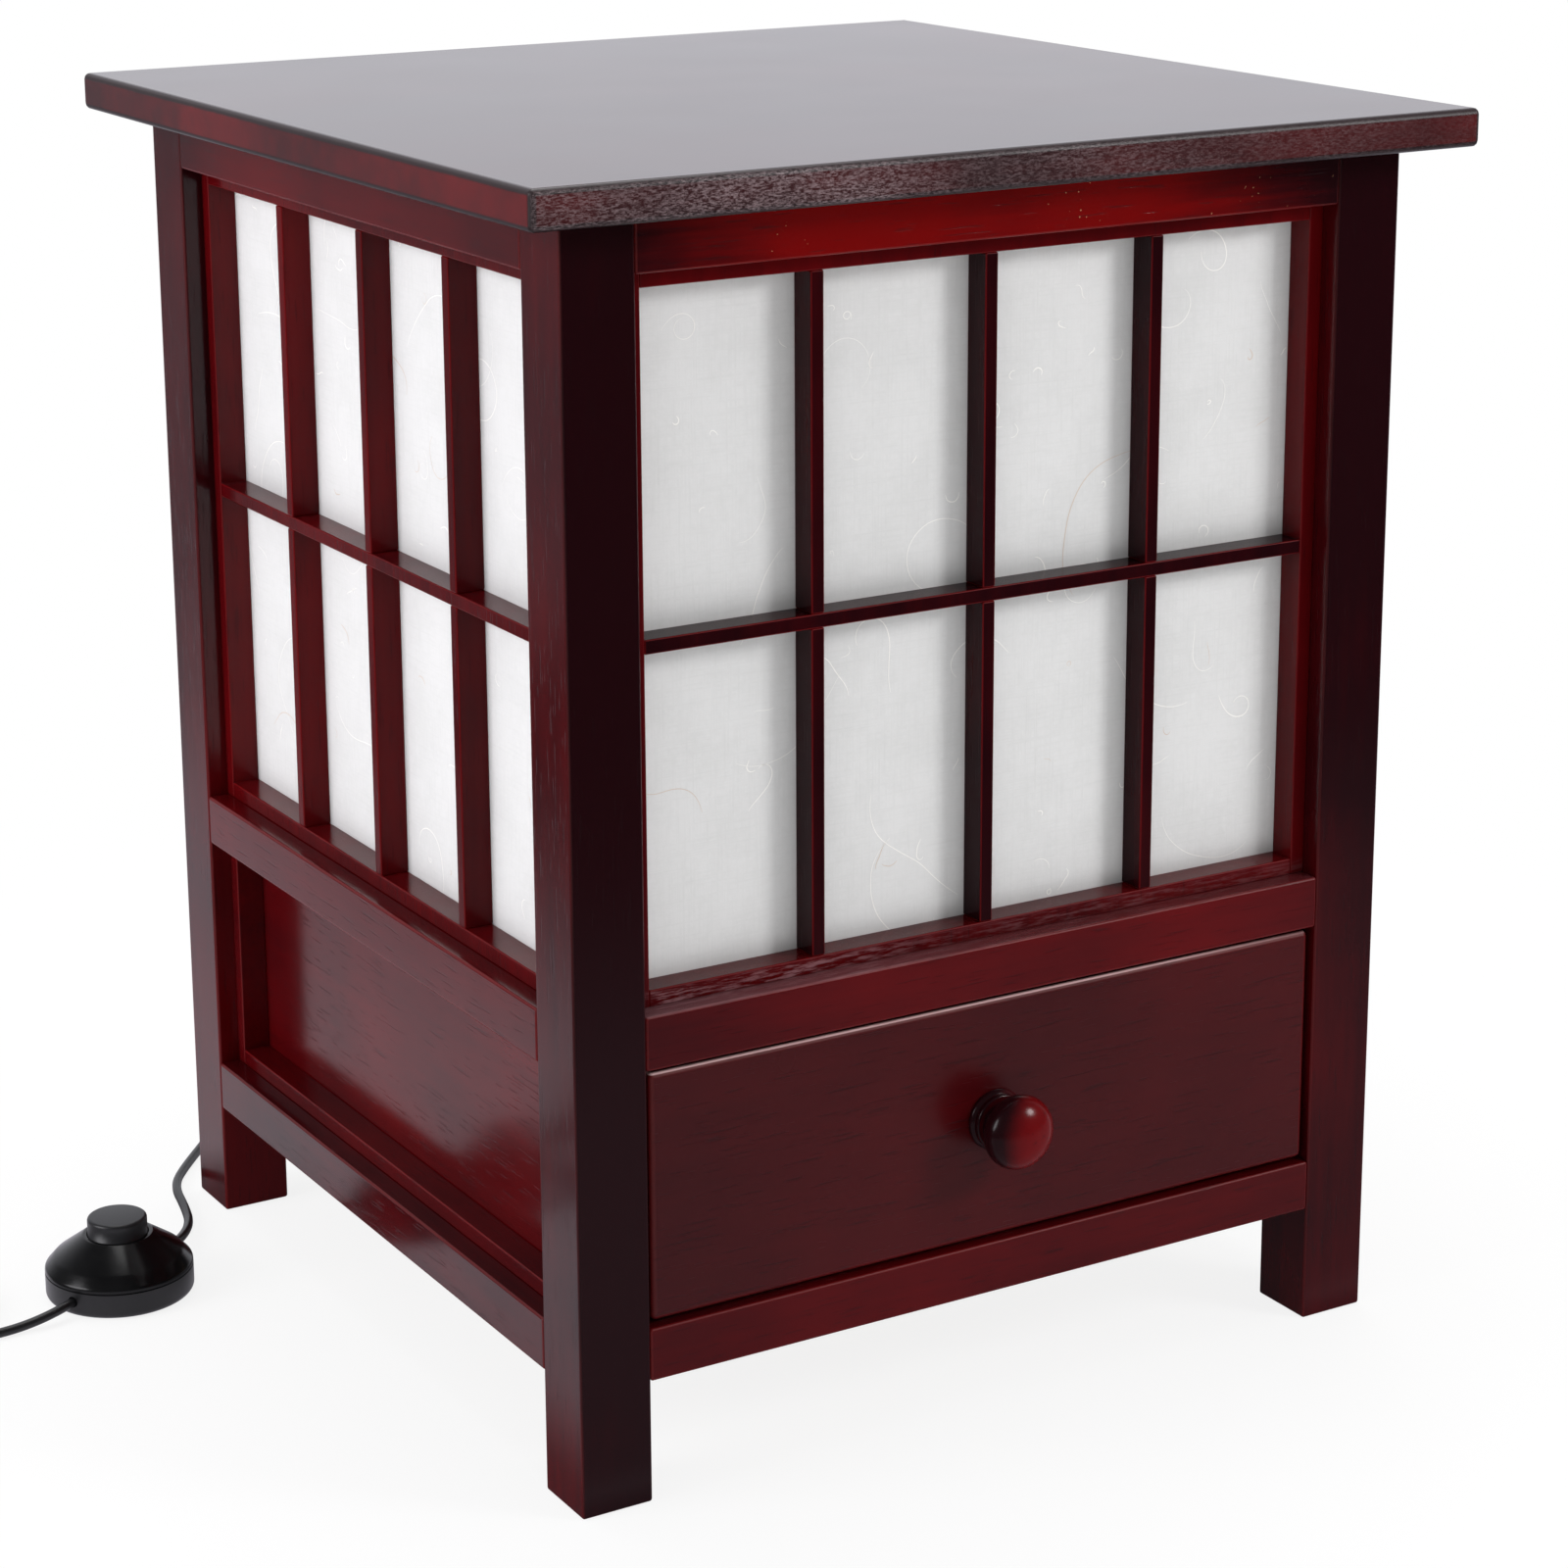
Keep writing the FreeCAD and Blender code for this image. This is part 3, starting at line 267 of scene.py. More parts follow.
@dataclass(frozen=True)
class Lacquer:
    """Glossy red lacquer on open-pored wood, under a dark toner in clouds and streaks.

    The colour is darker on the front and, less so, on the back by faces, towards a piece's ends by
    ends, and lighter low on the front and back by foot, least so at the front left. Arrises, where the
    attribute arris is one, are duller, and rubbed redder by worn. The upper arris can take a pale painted
    highlight, flat ledges a painted sheen with streaks of dust and filler, below the height scuff fronts
    are rubbed pale in streaks, and by chips there are tiny pale specks.
    """

    name: str
    grain: Grain
    red: Colour = (0.13, 0.0015, 0.0026, 1)
    dark: Colour = (0.0125, 0.0014, 0.0026, 1)
    toner: float = 0.5
    cloudy: float = 0.7
    streaky: float = 0.35
    faces: float = 0.0
    ends: float = 0.0
    end_span: tuple[float, float] = (0.05, 0.16)
    foot: float = 0.0
    worn: float = 0.35
    gloss: float = 0.16
    pores: float = 0.5
    painted_arris_highlight: float = 0.0
    dust_and_sheen: float = 0.0
    scuff: float = 0.0
    chips: float = 0.0
    bare: Colour = (0.92, 0.62, 0.62, 1)
    filler_and_sheen: Colour = (0.34, 0.17, 0.19, 1)
    chip: Colour = (0.75, 0.42, 0.22, 1)
    ior: float = 1.36

    def toned(self, n: Nodes) -> Socket:
        """Share of the dark toner.

        Args:
            n: Nodes of the material.

        Returns:
            The share, from 0 to 1.
        """
        cloud = n.noise(9.0, 3.0, 0.55)
        streak = n.noise(120.0, 4.0, 0.6, stretch=self.grain.value)
        share = (cloud - 0.5) * self.cloudy + (streak - 0.5) * self.streaky + self.toner
        if self.ends:
            axis = "XYZ"[self.grain.value.index(min(self.grain.value))]
            share = share + n.along(axis).absolute().step(*self.end_span) * self.ends
        rear = n.along("Y").step(*MIDDLE)
        if self.faces:
            share = share + n.facing("Y").absolute() * (1.0 - rear * 0.6) * self.faces
        if self.foot:
            right = n.along("X").step(*MIDDLE)
            low = (1.0 - n.along("Z").step(0.10, 0.42)) * n.facing("Y").absolute()
            share = share - low * (right.maximum(rear) * 0.8 + 0.2) * self.foot
        if self.worn:
            share = share - n.attribute("arris") * self.worn
        return share.step(0.0, 1.0)

    def pale(self, n: Nodes, colour: Socket) -> Socket:
        """Lay the painted highlight on the upper arris, the painted sheen with streaks of dust and filler, and the
        chips over a colour.

        Args:
            n: Nodes of the material.
            colour: The colour.

        Returns:
            The colour with them.
        """
        # Painted highlight: the upper arris is laid pale pink, fading to the right, where a lamp's glint falls.
        if self.painted_arris_highlight:
            right = n.along("X").step(0.05, 0.17)
            share = n.attribute("arris") * n.facing("Z").step(0.6, 0.8) * (1.0 - right * 0.75) * self.painted_arris_highlight
            colour = n.mix(share, colour, self.bare)
        if self.dust_and_sheen or self.scuff:
            streak = n.noise(700.0, 3.0, 0.7, stretch=(0.12, 1.0, 1.0)).step(0.42, 0.66)
            spots = streak * n.noise(24.0, stretch=(0.4, 1.0, 1.0)).step(0.3, 0.6)
            right = n.along("X").step(-0.16, 0.09)
            if self.scuff:
                share = spots * (1.0 - n.facing("Y").step(-0.95, -0.7)) * (1.0 - right * 0.8) * 0.8
                share = share * (1.0 - n.along("Z").step(self.scuff - 0.002, self.scuff))
            else:
                # Painted sheen mixed with dust: upward faces are laid pale, more so in streaks, fading to the right.
                share = (spots * 0.6 + 0.4) * n.facing("Z").step(0.3, 0.9) * (1.0 - right * 0.85) * self.dust_and_sheen
            colour = n.mix(share, colour, self.filler_and_sheen)
        if self.chips:
            dot = n.noise(1000.0, 0.0).step(0.84, 0.88) * n.noise(30.0, 1.0).step(0.56, 0.64)
            colour = n.mix(dot * self.chips, colour, self.chip)
        return colour

    def make(self) -> Finish:
        """Make the material.

        Returns:
            The material.
        """
        n = Nodes(self.name)
        fine = n.noise(900.0, stretch=self.grain.value)
        pore = fine.step(0.60, 0.70) * self.pores
        colour = n.mix(self.toned(n), self.red, self.dark)
        colour = self.pale(n, n.mix(pore * 0.7, colour, self.dark))
        wave = n.noise(26.0, 1.0, 0.4)
        pitted = n.bump(pore, 0.00008, 0.7, n.bump(wave, 0.0002, 0.5), invert=True)
        rough = (wave - 0.5) * 0.05 + self.gloss + pore * 0.12 + n.attribute("arris") * 0.25
        return n.finish({"Base Color": colour, "Roughness": rough, "Normal": pitted, "IOR": self.ior})


@dataclass(frozen=True)
class TopLacquer(Lacquer):
    """Lacquer of the top: a painted sheen of fine pale grain specks on its front and back edges, which are darker at
    the left.
    """

    painted_sheen_speck: Colour = (0.33, 0.245, 0.26, 1)
    flat_red: Colour = (0.035, 0.002, 0.003, 1)

    def make(self) -> Finish:
        """Make the material.

        Returns:
            The material.
        """
        n = Nodes(self.name)
        edge = 1.0 - n.facing("Z").absolute().step(0.25, 0.75)
        face = n.facing("Y").absolute().step(0.5, 0.95)
        red = n.mix(edge, self.flat_red, self.red)
        right = n.along("X").step(-0.2, 0.22)
        toned = self.toned(n) - n.facing("X").absolute() * 0.06 + face * (1.0 - right) * 0.22
        colour = n.mix(toned.step(0.0, 1.0), red, self.dark)
        fine = n.noise(1900.0, 3.0, 0.8, stretch=(0.3, 1.0, 1.0))
        patch = n.noise(30.0, 3.0, 0.6, stretch=(0.5, 1.0, 1.0)).step(0.25, 0.75) * 0.6 + 0.4
        # Painted sheen: pale specks along the grain on the front and back edges, fading to the right.
        painted_sheen_speck = fine.step(0.40, 0.66) * patch * (1.0 - right * 0.85)
        colour = n.mix(face * painted_sheen_speck * 0.85, colour, self.painted_sheen_speck)
        wave = n.noise(16.0, 1.0, 0.4)
        bent = n.bump(fine * edge, 0.00006, 0.5, n.bump(wave, 0.00012, 0.4))
        rough = edge * 0.16 + self.gloss + (wave - 0.5) * 0.04 + n.attribute("arris") * 0.3
        return n.finish({"Base Color": colour, "Roughness": rough, "Normal": bent, "IOR": 1.5})


@dataclass(frozen=True)
class KnobLacquer(Lacquer):
    """Lacquer of the knob, with painted shade on its left and rear side and behind its ball near the neck."""

    neck: tuple[float, float] = (-0.2000, -0.1900)

    def make(self) -> Finish:
        """Make the material.

        Returns:
            The material.
        """
        n = Nodes(self.name)
        # Painted shade: darker behind the ball, towards the neck and the drawer.
        behind = n.along("Y").step(*self.neck) * 0.55
        # Painted shade: faces turned to the left and the back are darkened by their direction.
        side = n.facing("X") * -0.8 + n.facing("Z") * 0.1 + n.facing("Y") * 0.35
        share = self.toned(n) * 0.5 + behind + side.step(-0.42, 0.40) * 0.9
        colour = n.mix(share.step(0.0, 1.0), self.red, self.dark)
        streak = n.noise(500.0, 3.0, stretch=self.grain.value)
        colour = n.mix(streak.step(0.55, 0.8) * 0.4, colour, self.dark)
        wave = n.noise(60.0, 1.0, 0.4)
        return n.finish({"Base Color": colour, "Roughness": (wave - 0.5) * 0.04 + self.gloss,
                         "Normal": n.bump(wave, 0.0001, 0.4), "IOR": 1.32})


@dataclass(frozen=True)
class Paper:
    """Laminated rice paper: off-white, faintly cloudy, with a fine laid weave and pale strands.

    The strands are thin bands of their own, whose attribute strand is above zero.
    """

    name: str = "rice_paper"
    white: Colour = (0.75, 0.748, 0.747, 1)
    shade: Colour = (0.665, 0.665, 0.66, 1)
    pale: Colour = (0.99, 0.975, 0.94, 1)
    tan: Colour = (0.66, 0.54, 0.45, 1)

    def make(self) -> Finish:
        """Make the material.

        Returns:
            The material.
        """
        n = Nodes(self.name)
        cloud = n.noise(35.0, 5.0, 0.65)
        across = n.noise(1100.0, 1.0, stretch=(1.0, 1.0, 0.04))
        along = n.noise(1100.0, 1.0, stretch=(0.04, 0.04, 1.0))
        weave = across.maximum(along)
        pulp = n.noise(420.0, 4.0, 0.7)
        colour = n.mix((cloud.step(0.35, 0.7) * 0.45) + (weave - 0.5) * 0.9 + (pulp - 0.5) * 0.8, self.white,
                       self.shade)
        strand = n.attribute("strand")
        thread = n.mix(strand.step(0.55, 0.95), self.pale, self.tan)
        colour = n.mix(strand.step(0.0, 0.1) * 0.8, colour, thread)
        return n.finish({"Base Color": colour, "Roughness": 0.75, "IOR": 1.3,
                         "Normal": n.bump(weave + pulp, 0.00006, 0.7)})


@dataclass(frozen=True)
class Plastic:
    """Moulded plastic with a faint unevenness."""

    name: str
    colour: Colour
    rough: float = 0.2
    uneven: float = 0.00003
    ior: float = 1.45

    def make(self) -> Finish:
        """Make the material.

        Returns:
            The material.
        """
        n = Nodes(self.name)
        cloud = n.noise(60.0, 3.0, 0.6)
        lighter = tuple(min(1.0, c * 1.35 + 0.002) for c in self.colour[:3]) + (1,)
        colour = n.mix(cloud.step(0.3, 0.8), self.colour, lighter)
        rough = (cloud - 0.5) * 0.1 + self.rough
        return n.finish({"Base Color": colour, "Roughness": rough, "IOR": self.ior,
                         "Normal": n.bump(n.noise(700.0, 1.0), self.uneven, 0.4)})


@dataclass(frozen=True)
class Metal:
    """Bare or plated metal with fine scratches."""

    name: str
    colour: Colour
    rough: float = 0.3

    def make(self) -> Finish:
        """Make the material.

        Returns:
            The material.
        """
        n = Nodes(self.name)
        scratch = n.noise(2500.0, stretch=(1.0, 0.05, 1.0))
        return n.finish({"Base Color": self.colour, "Metallic": 1.0,
                         "Roughness": (scratch - 0.5) * 0.2 + self.rough})


@dataclass(frozen=True)
class PlainWood:
    """Stained inner wood without gloss."""

    name: str
    grain: Grain
    light: Colour = (0.19, 0.085, 0.05, 1)
    dark: Colour = (0.09, 0.035, 0.022, 1)

    def make(self) -> Finish:
        """Make the material.

        Returns:
            The material.
        """
        n = Nodes(self.name)
        streak = n.noise(160.0, 5.0, 0.6, stretch=self.grain.value)
        colour = n.mix(streak.step(0.35, 0.68), self.light, self.dark)
        return n.finish({"Base Color": colour, "Roughness": streak * 0.25 + 0.5,
                         "Normal": n.bump(streak, 0.0001, 0.4)})


@dataclass(frozen=True)
class Glass:
    """Frosted glass of the bulb."""

    name: str = "bulb_glass"

    def make(self) -> Finish:
        """Make the material.

        Returns:
            The material.
        """
        n = Nodes(self.name)
        cloud = n.noise(90.0)
        colour = n.mix(cloud, (0.86, 0.86, 0.84, 1), (0.93, 0.93, 0.91, 1))
        return n.finish({"Base Color": colour, "Roughness": cloud * 0.1 + 0.18})


@cache
def made_once(lacquer: Lacquer) -> Finish:
    """Material of a lacquer, the same one whenever the lacquer is the same."""
    return lacquer.make()


# Meshes


def placed(name: str, data: Any) -> Piece:
    """Put a mesh, curve, light or camera into the scene, at the origin.

    Args:
        name: Name of its object.
        data: The mesh, curve, light or camera.

    Returns:
        The object.
    """
    piece = bpy.data.objects.new(name, data)
    bpy.context.scene.collection.objects.link(piece)
    return piece


def mesh_object(name: str, points: np.ndarray, faces: np.ndarray | list) -> Piece:
    """Put points and faces into a new smooth mesh object at the origin.

    Args:
        name: Name of the object.
        points: Array of points, one row each, in metres.
        faces: Rows of point numbers.

    Returns:
        The object.
    """
    mesh = bpy.data.meshes.new(name)
    mesh.from_pydata(np.asarray(points, float).tolist(), [], [list(map(int, face)) for face in faces])
    mesh.polygons.foreach_set("use_smooth", np.ones(len(mesh.polygons), bool))
    mesh.update()
    return placed(name, mesh)


def ring_faces(rows: int, columns: int) -> np.ndarray:
    """Quads between neighbouring points of a grid of rings, whose points are numbered ring by ring.

    Args:
        rows: Number of rings.
        columns: Number of points in a ring, whose last one joins its first.

    Returns:
        Rows of four point numbers.
    """
    row, column = np.meshgrid(np.arange(rows - 1), np.arange(columns), indexing="ij")
    here, after, beside = row * columns, (row + 1) * columns, (column + 1) % columns
    return np.stack([here + column, here + beside, after + beside, after + column], axis=-1).reshape(-1, 4)


def revolved(name: str, profile: np.ndarray, place: Matrix, steps: int) -> Piece:
    """Surface that a profile of (radius, height) sweeps round the Z axis.

    A point is (r cos a, r sin a, h), for each profile point (r, h) and angle a. A profile point on the
    axis becomes one pole.

    Args:
        name: Name of the object.
        profile: Rows of radius and height, from one end of the solid's outside to the other.
        place: Where the axis goes.
        steps: Number of angles.

    Returns:
        The object.
    """
    angle = np.arange(steps) * 2 * math.pi / steps
    radius, height = profile[:, 0], profile[:, 1]
    ring = np.stack([np.outer(radius, np.cos(angle)), np.outer(radius, np.sin(angle)),
                     np.repeat(height[:, None], steps, axis=1)], axis=-1).reshape(-1, 3)
    piece = mesh_object(name, ring, ring_faces(len(profile), steps))
    merge_and_turn_out(piece.data)
    piece.data.transform(place)
    return piece


def merge_and_turn_out(mesh: bpy.types.Mesh) -> None:
    """Merge points that lie together and point every face outwards.

    Args:
        mesh: The mesh, changed in place.
    """
    work = bmesh.new()
    work.from_mesh(mesh)
    bmesh.ops.remove_doubles(work, verts=work.verts, dist=MERGE)
    bmesh.ops.dissolve_degenerate(work, edges=work.edges, dist=MERGE)
    bmesh.ops.recalc_face_normals(work, faces=work.faces)
    work.to_mesh(mesh)
    work.free()


def rounded(points: Sequence[tuple[float, ...]], step: float = 14.0) -> np.ndarray:
    """Polyline through (x, y, radius) corners, each rounded by an arc of its radius.

    The arc touches both sides of its corner at radius times tan(half turn) from it.

    Args:
        points: Corners, whose radius may be left out.
        step: Largest turn between two points of an arc, in degrees.

    Returns:
        Rows of x and y.
    """
    corners = [np.array(point[:2], float) for point in points]
    line = [corners[0]]
    for index in range(1, len(corners) - 1):
        radius = points[index][2] if len(points[index]) > 2 else 0.0
        back, on = corners[index - 1] - corners[index], corners[index + 1] - corners[index]
        back, on = back / np.linalg.norm(back), on / np.linalg.norm(on)
        half = (math.pi - math.acos(float(np.clip(back @ on, -1, 1)))) / 2
        if radius == 0 or half < 1e-3:
            line.append(corners[index])
            continue
        reach = radius * math.tan(half)
        middle = (back + on) / np.linalg.norm(back + on)
        centre = corners[index] + middle * radius / math.cos(half)
        start = corners[index] + back * reach - centre
        turn = -math.copysign(2 * half, back[0] * on[1] - back[1] * on[0])
        count = max(2, math.ceil(math.degrees(2 * half) / step))
        for share in np.linspace(0, 1, count + 1):
            c, s = math.cos(turn * share), math.sin(turn * share)
            line.append(centre + np.array([c * start[0] - s * start[1], s * start[0] + c * start[1]]))
    line.append(corners[-1])
    return np.array(line)


def raised(rows: tuple, base: float) -> list[tuple[float, ...]]:
    """Rows of a profile, of radius, height and perhaps rounding, with the heights raised by a base."""
    return [(radius, base + height, *rounding) for radius, height, *rounding in rows]


def ellipse(rim: float, rise: float, middle: float, start: float, count: int) -> np.ndarray:
    """Points of an ellipse about the axis, from an angle to its tip, as rows of radius and height.

    A point is (rim cos a, middle + rise sin a), and a runs from start to a right angle.
    """
    angle = np.linspace(start, math.pi / 2, count)
    return np.stack([rim * np.cos(angle), middle + rise * np.sin(angle)], axis=1)


def eased_board(low: np.ndarray, high: np.ndarray, ease: float, steps: int = 3) -> tuple[np.ndarray, ...]:
    """Board whose edges and corners are rounded, as one surface over two angles.

    With d the unit direction at a polar and a turning angle, a point is the corner of the inner box on
    d's side plus the easing times d. Every angle at which d changes side stands in the grid twice, so
    that the flat faces lie between the two copies. d is also the normal.

    Args:
        low: Lowest corner.
        high: Highest corner.
        ease: Radius of the edges.
        steps: Number of faces across an edge.

    Returns:
        The points, their normals and the faces.
    """
    quarter = np.linspace(0, math.pi / 2, steps + 1)
    polar = np.concatenate([quarter - math.pi / 2, quarter])
    up_side = np.repeat([-1.0, 1.0], steps + 1)
    turn = np.concatenate([quarter + k * math.pi / 2 for k in range(4)])
    x_side = np.repeat([1.0, -1.0, -1.0, 1.0], steps + 1)
    y_side = np.repeat([1.0, 1.0, -1.0, -1.0], steps + 1)
    d = np.stack([np.outer(np.cos(polar), np.cos(turn)), np.outer(np.cos(polar), np.sin(turn)),
                  np.outer(np.sin(polar), np.ones(len(turn)))], axis=-1)
    side = np.stack(np.broadcast_arrays(x_side, y_side, up_side[:, None]), axis=-1)
    centre, half = (low + high) / 2, (high - low) / 2
    points = centre + side * (half - ease) + ease * d
    corner = np.arange(4) * (steps + 1)
    caps = np.array([corner[::-1], corner + (len(polar) - 1) * len(turn)])
    return points.reshape(-1, 3), d.reshape(-1, 3), np.concatenate([ring_faces(len(polar), len(turn)), caps])


def merged(name: str, parts: list[tuple[np.ndarray, ...]], attribute: str) -> Piece:
    """One object of several parts, with exact normals.

    Args:
        name: Name of the object.
        parts: Points, normals, faces and numbers of each part.
        attribute: Name of the numbers.

    Returns:
        The object.
    """
    starts = np.cumsum([0] + [len(part[0]) for part in parts[:-1]])
    points, normals, values = (np.concatenate([part[row] for part in parts]) for row in (0, 1, 3))
    piece = mesh_object(name, points, np.concatenate([part[2] + start for part, start in zip(parts, starts)]))
    layer = piece.data.attributes.new(attribute, "FLOAT", "POINT")
    layer.data.foreach_set("value", np.ascontiguousarray(values, np.float32))
    piece.data.normals_split_custom_set_from_vertices(normals.tolist())
    return piece


def eased_boards(name: str, boxes: Sequence[tuple[Point, Point]], ease: float, side: Side | None = None) -> Piece:
    """One piece of several eased boards, whose attribute arris is one on their edges.

    Args:
        name: Name of the piece.
        boxes: Lowest and highest corner of each board.
        ease: Radius of their edges.
        side: Side onto which they are turned, where they are drawn for the front.

    Returns:
        The object.
    """
    parts = []
    for low, high in boxes:
        points, normals, faces = eased_board(np.array(low, float), np.array(high, float), ease)
        arris = np.clip((1 - np.abs(normals).max(axis=1)) / ARRIS_SPAN, 0, 1)
        parts.append((points, normals, faces, arris))
    piece = merged(name, parts, "arris")
    if side:
        piece.data.transform(side.turn)
    return piece


@dataclass
class StrandedSheet:
    """Sheet of paper with curly strands on its outer face, drawn for the front."""

    low: np.ndarray
    high: np.ndarray
    seed: int
    short: int = 60
    long: int = 26
    short_span: tuple[float, float] = (0.003, 0.012)
    long_span: tuple[float, float] = (0.025, 0.075)
    half_span: tuple[float, float] = (0.00009, 0.00026)
    steps: int = 30
    lift: float = 0.00005
    ease: float = 0.0001
    wander: float = 0.35
    tan_share: float = 0.14

    def strand(self, rng: np.random.Generator, length: float, curl: float) -> tuple[np.ndarray, float]:
        """One strand as a flat band.

        Its direction turns by a curl that wanders along it, and it tapers at both ends.

        Args:
            rng: Source of its numbers.
            length: Its length.
            curl: Spread of its curl, in radians over the length.

        Returns:
            The band's points, left and right edge in turn, and its tone.
        """
        bend = rng.normal(0, curl) + np.cumsum(rng.normal(0, self.wander, self.steps)) * 2.4
        heading = rng.uniform(0, 2 * math.pi) + np.cumsum(bend) / self.steps
        along = np.stack([np.cos(heading), np.sin(heading)], axis=1)
        low, high = self.low[[0, 2]], self.high[[0, 2]]
        start = rng.uniform(low, high)
        line = start + np.cumsum(along, axis=0) * length / self.steps
        across = np.stack([-along[:, 1], along[:, 0]], axis=1)
        taper = np.sin(np.linspace(0.12, math.pi - 0.12, self.steps))[:, None] ** 0.5
        half = rng.uniform(*self.half_span) * taper
        band = np.stack([line - across * half, line + across * half], axis=1).reshape(-1, 2)
        band = np.clip(band, low, high)
        tone = 0.95 if rng.uniform() < self.tan_share else rng.uniform(0.12, 0.6)
        return np.insert(band, 1, self.low[1] - self.lift, axis=1), tone

    def make(self, name: str) -> Piece:
        """Make the sheet as one object.

        Args:
            name: Name of the object.

        Returns:
            The object.
        """
        rng = np.random.default_rng(self.seed)
        board = eased_board(self.low, self.high, self.ease, 1)
        parts = [(*board, np.zeros(len(board[0])))]
        band = np.array([(2 * k + 2, 2 * k + 3, 2 * k + 1, 2 * k) for k in range(self.steps - 1)])
        kinds = [(rng.uniform(*self.short_span), 1.5) for _ in range(self.short)]
        kinds += [(rng.uniform(*self.long_span), 1.6) for _ in range(self.long)]
        for length, curl in kinds:
            row, tone = self.strand(rng, length, curl)
            parts.append((row, np.tile((0.0, -1.0, 0.0), (len(row), 1)), band, np.full(len(row), tone)))
        return merged(name, parts, "strand")


def dress(piece: Piece, finish: Finish, *replaced: str, body: str = "cabinet", slot: str = "red_lacquer") -> None:
    """Give a piece its finish and its body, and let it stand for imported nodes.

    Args:
        piece: The piece.
        finish: Its material.
        replaced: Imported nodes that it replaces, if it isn't one itself.
        body: Body that it rides on.
        slot: Its material slot in the record; not used.
    """
    if replaced:
        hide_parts(*replaced)
    piece.data.materials.clear()
    piece.data.materials.append(finish)
    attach(piece, body)
    log.info("%s rides on %s", piece.name, body)


# Studio


@dataclass
class Studio:
    """Camera, floor, backdrop and lamps."""

    camera_at: Point = (-0.7788, -1.3302, 0.6795)
    camera_turn: Point = (75.354, 0.252, -30.873)
    focal: float = 87.84
    shift: float = -0.10
    reach: float = 6.0
    floor_drop: float = 0.0002
    aim: Point = (0.0, 0.0, 0.25)
    ambient: float = 0.55
    room: float = 0.10
    sky_tint: Colour = (0.87, 0.875, 0.935, 1)
    floor_tint: Colour = (0.90, 0.87, 0.97, 1)
    lamps: tuple = (("left_softbox", (-2.6, 0.2, 1.2), 1.6, 43, (0.975, 0.965, 1.0)),
                    ("top_softbox", (0.2, 0.5, 2.4), 1.6, 26), ("right_softbox", (1.1, -1.34, 1.12), 0.55, 13))

    def shoot(self) -> None:
        """Place the camera."""
        camera = bpy.data.cameras.new("camera")
        camera.lens, camera.sensor_width = self.focal, 36.0
        camera.shift_y = self.shift
        camera.clip_end = 50
        holder = placed("camera", camera)
        holder.location = self.camera_at
        holder.rotation_euler = [math.radians(angle) for angle in self.camera_turn]
        bpy.context.scene.camera = holder

    def backdrop(self) -> None:
        """Light the object softly from all sides, with white behind it and a dim room before it."""
        bpy.context.scene.view_settings.view_transform = "Standard"
        world = bpy.data.worlds.new("white_room")
        bpy.context.scene.world = world
        n = Nodes("white_room", world)
        whither = n.add("TexCoord", output="Generated")
        behind = n.add("VectorMath", [whither, (0.50, 0.83, 0.25)], "Value", operation="DOT_PRODUCT")
        glossy = n.ray("Glossy")
        room = behind.step(0.35, 0.85) * (1.0 - self.room) + self.room
        other = glossy * room + (1.0 - glossy) * self.ambient
        seen = n.ray("Camera").maximum(n.ray("Transmission"))
        tint = n.mix(glossy, WHITE, self.sky_tint)
        n.close(n.add("Background", {"Color": tint, "Strength": seen + (1.0 - seen) * other}), "World")

    def plane(self, name: str, height: float) -> Piece:
        """Level sheet over the whole floor, at a height."""
        corners = [(x * self.reach, y * self.reach, height) for x, y in ((-1, -1), (1, -1), (1, 1), (-1, 1))]
        return mesh_object(name, np.array(corners), [(0, 1, 2, 3)])

    def floor(self) -> None:
        """Lay a white floor that keeps a soft shadow near the object and is plain white further out."""
        floor = self.plane("floor", -self.floor_drop)
        n = Nodes("floor_white")
        matt = n.add("BsdfDiffuse", {"Color": (0.95, 0.95, 0.95, 1)})
        glossy = n.ray("Glossy")
        tint = n.mix(glossy, WHITE, self.floor_tint)
        bright = n.add("Emission", {"Color": tint, "Strength": 1.0})
        away = n.add("VectorMath", [n.place()], "Value", operation="LENGTH")
        share = n.ray("Camera").maximum(glossy) * (away.step(0.28, 0.75) * 0.15 + 0.85)
        floor.data.materials.append(n.close(n.add("MixShader", [share, matt, bright])))

    def dark_card(self) -> None:
        """Lay a dark card in front and around, which only reflections show, so that gloss has depth.

        It is dense under the object, as painted shade of the floor beneath it in reflections, and grows
        denser in two steps to the front and to the left.
        """
        card = self.plane("dark_card", self.floor_drop)
        n = Nodes("dark_card")
        forward, left = n.along("Y") * -1, n.along("X") * -1
        cloud = n.noise(3.0, 1.0)
        # Painted shade: under the object the card stands in for the floor's shade, as reflections see it.
        under = (1.0 - forward.absolute().step(0.17, 0.25)) * (1.0 - left.absolute().step(0.19, 0.25)) * 0.85
        front = (forward.step(0.15, 0.22) * 0.72 + forward.step(0.5, 0.95) * 0.26).maximum(under)
        beside = left.step(0.34, 0.60) * 0.78 + left.step(0.15, 0.24) * 0.17
        beside = beside * (1.0 - (forward * -1).step(0.75, 1.15) * 0.25)
        dense = front.maximum(beside - (cloud - 0.5) * 0.3)
        clear = n.add("BsdfTransparent")
        black = n.add("BsdfDiffuse", {"Color": (0.01, 0.01, 0.01, 1)})
        card.data.materials.append(n.close(n.add("MixShader", [dense, clear, black])))
        card.visible_camera = card.visible_diffuse = card.visible_shadow = card.visible_transmission = False

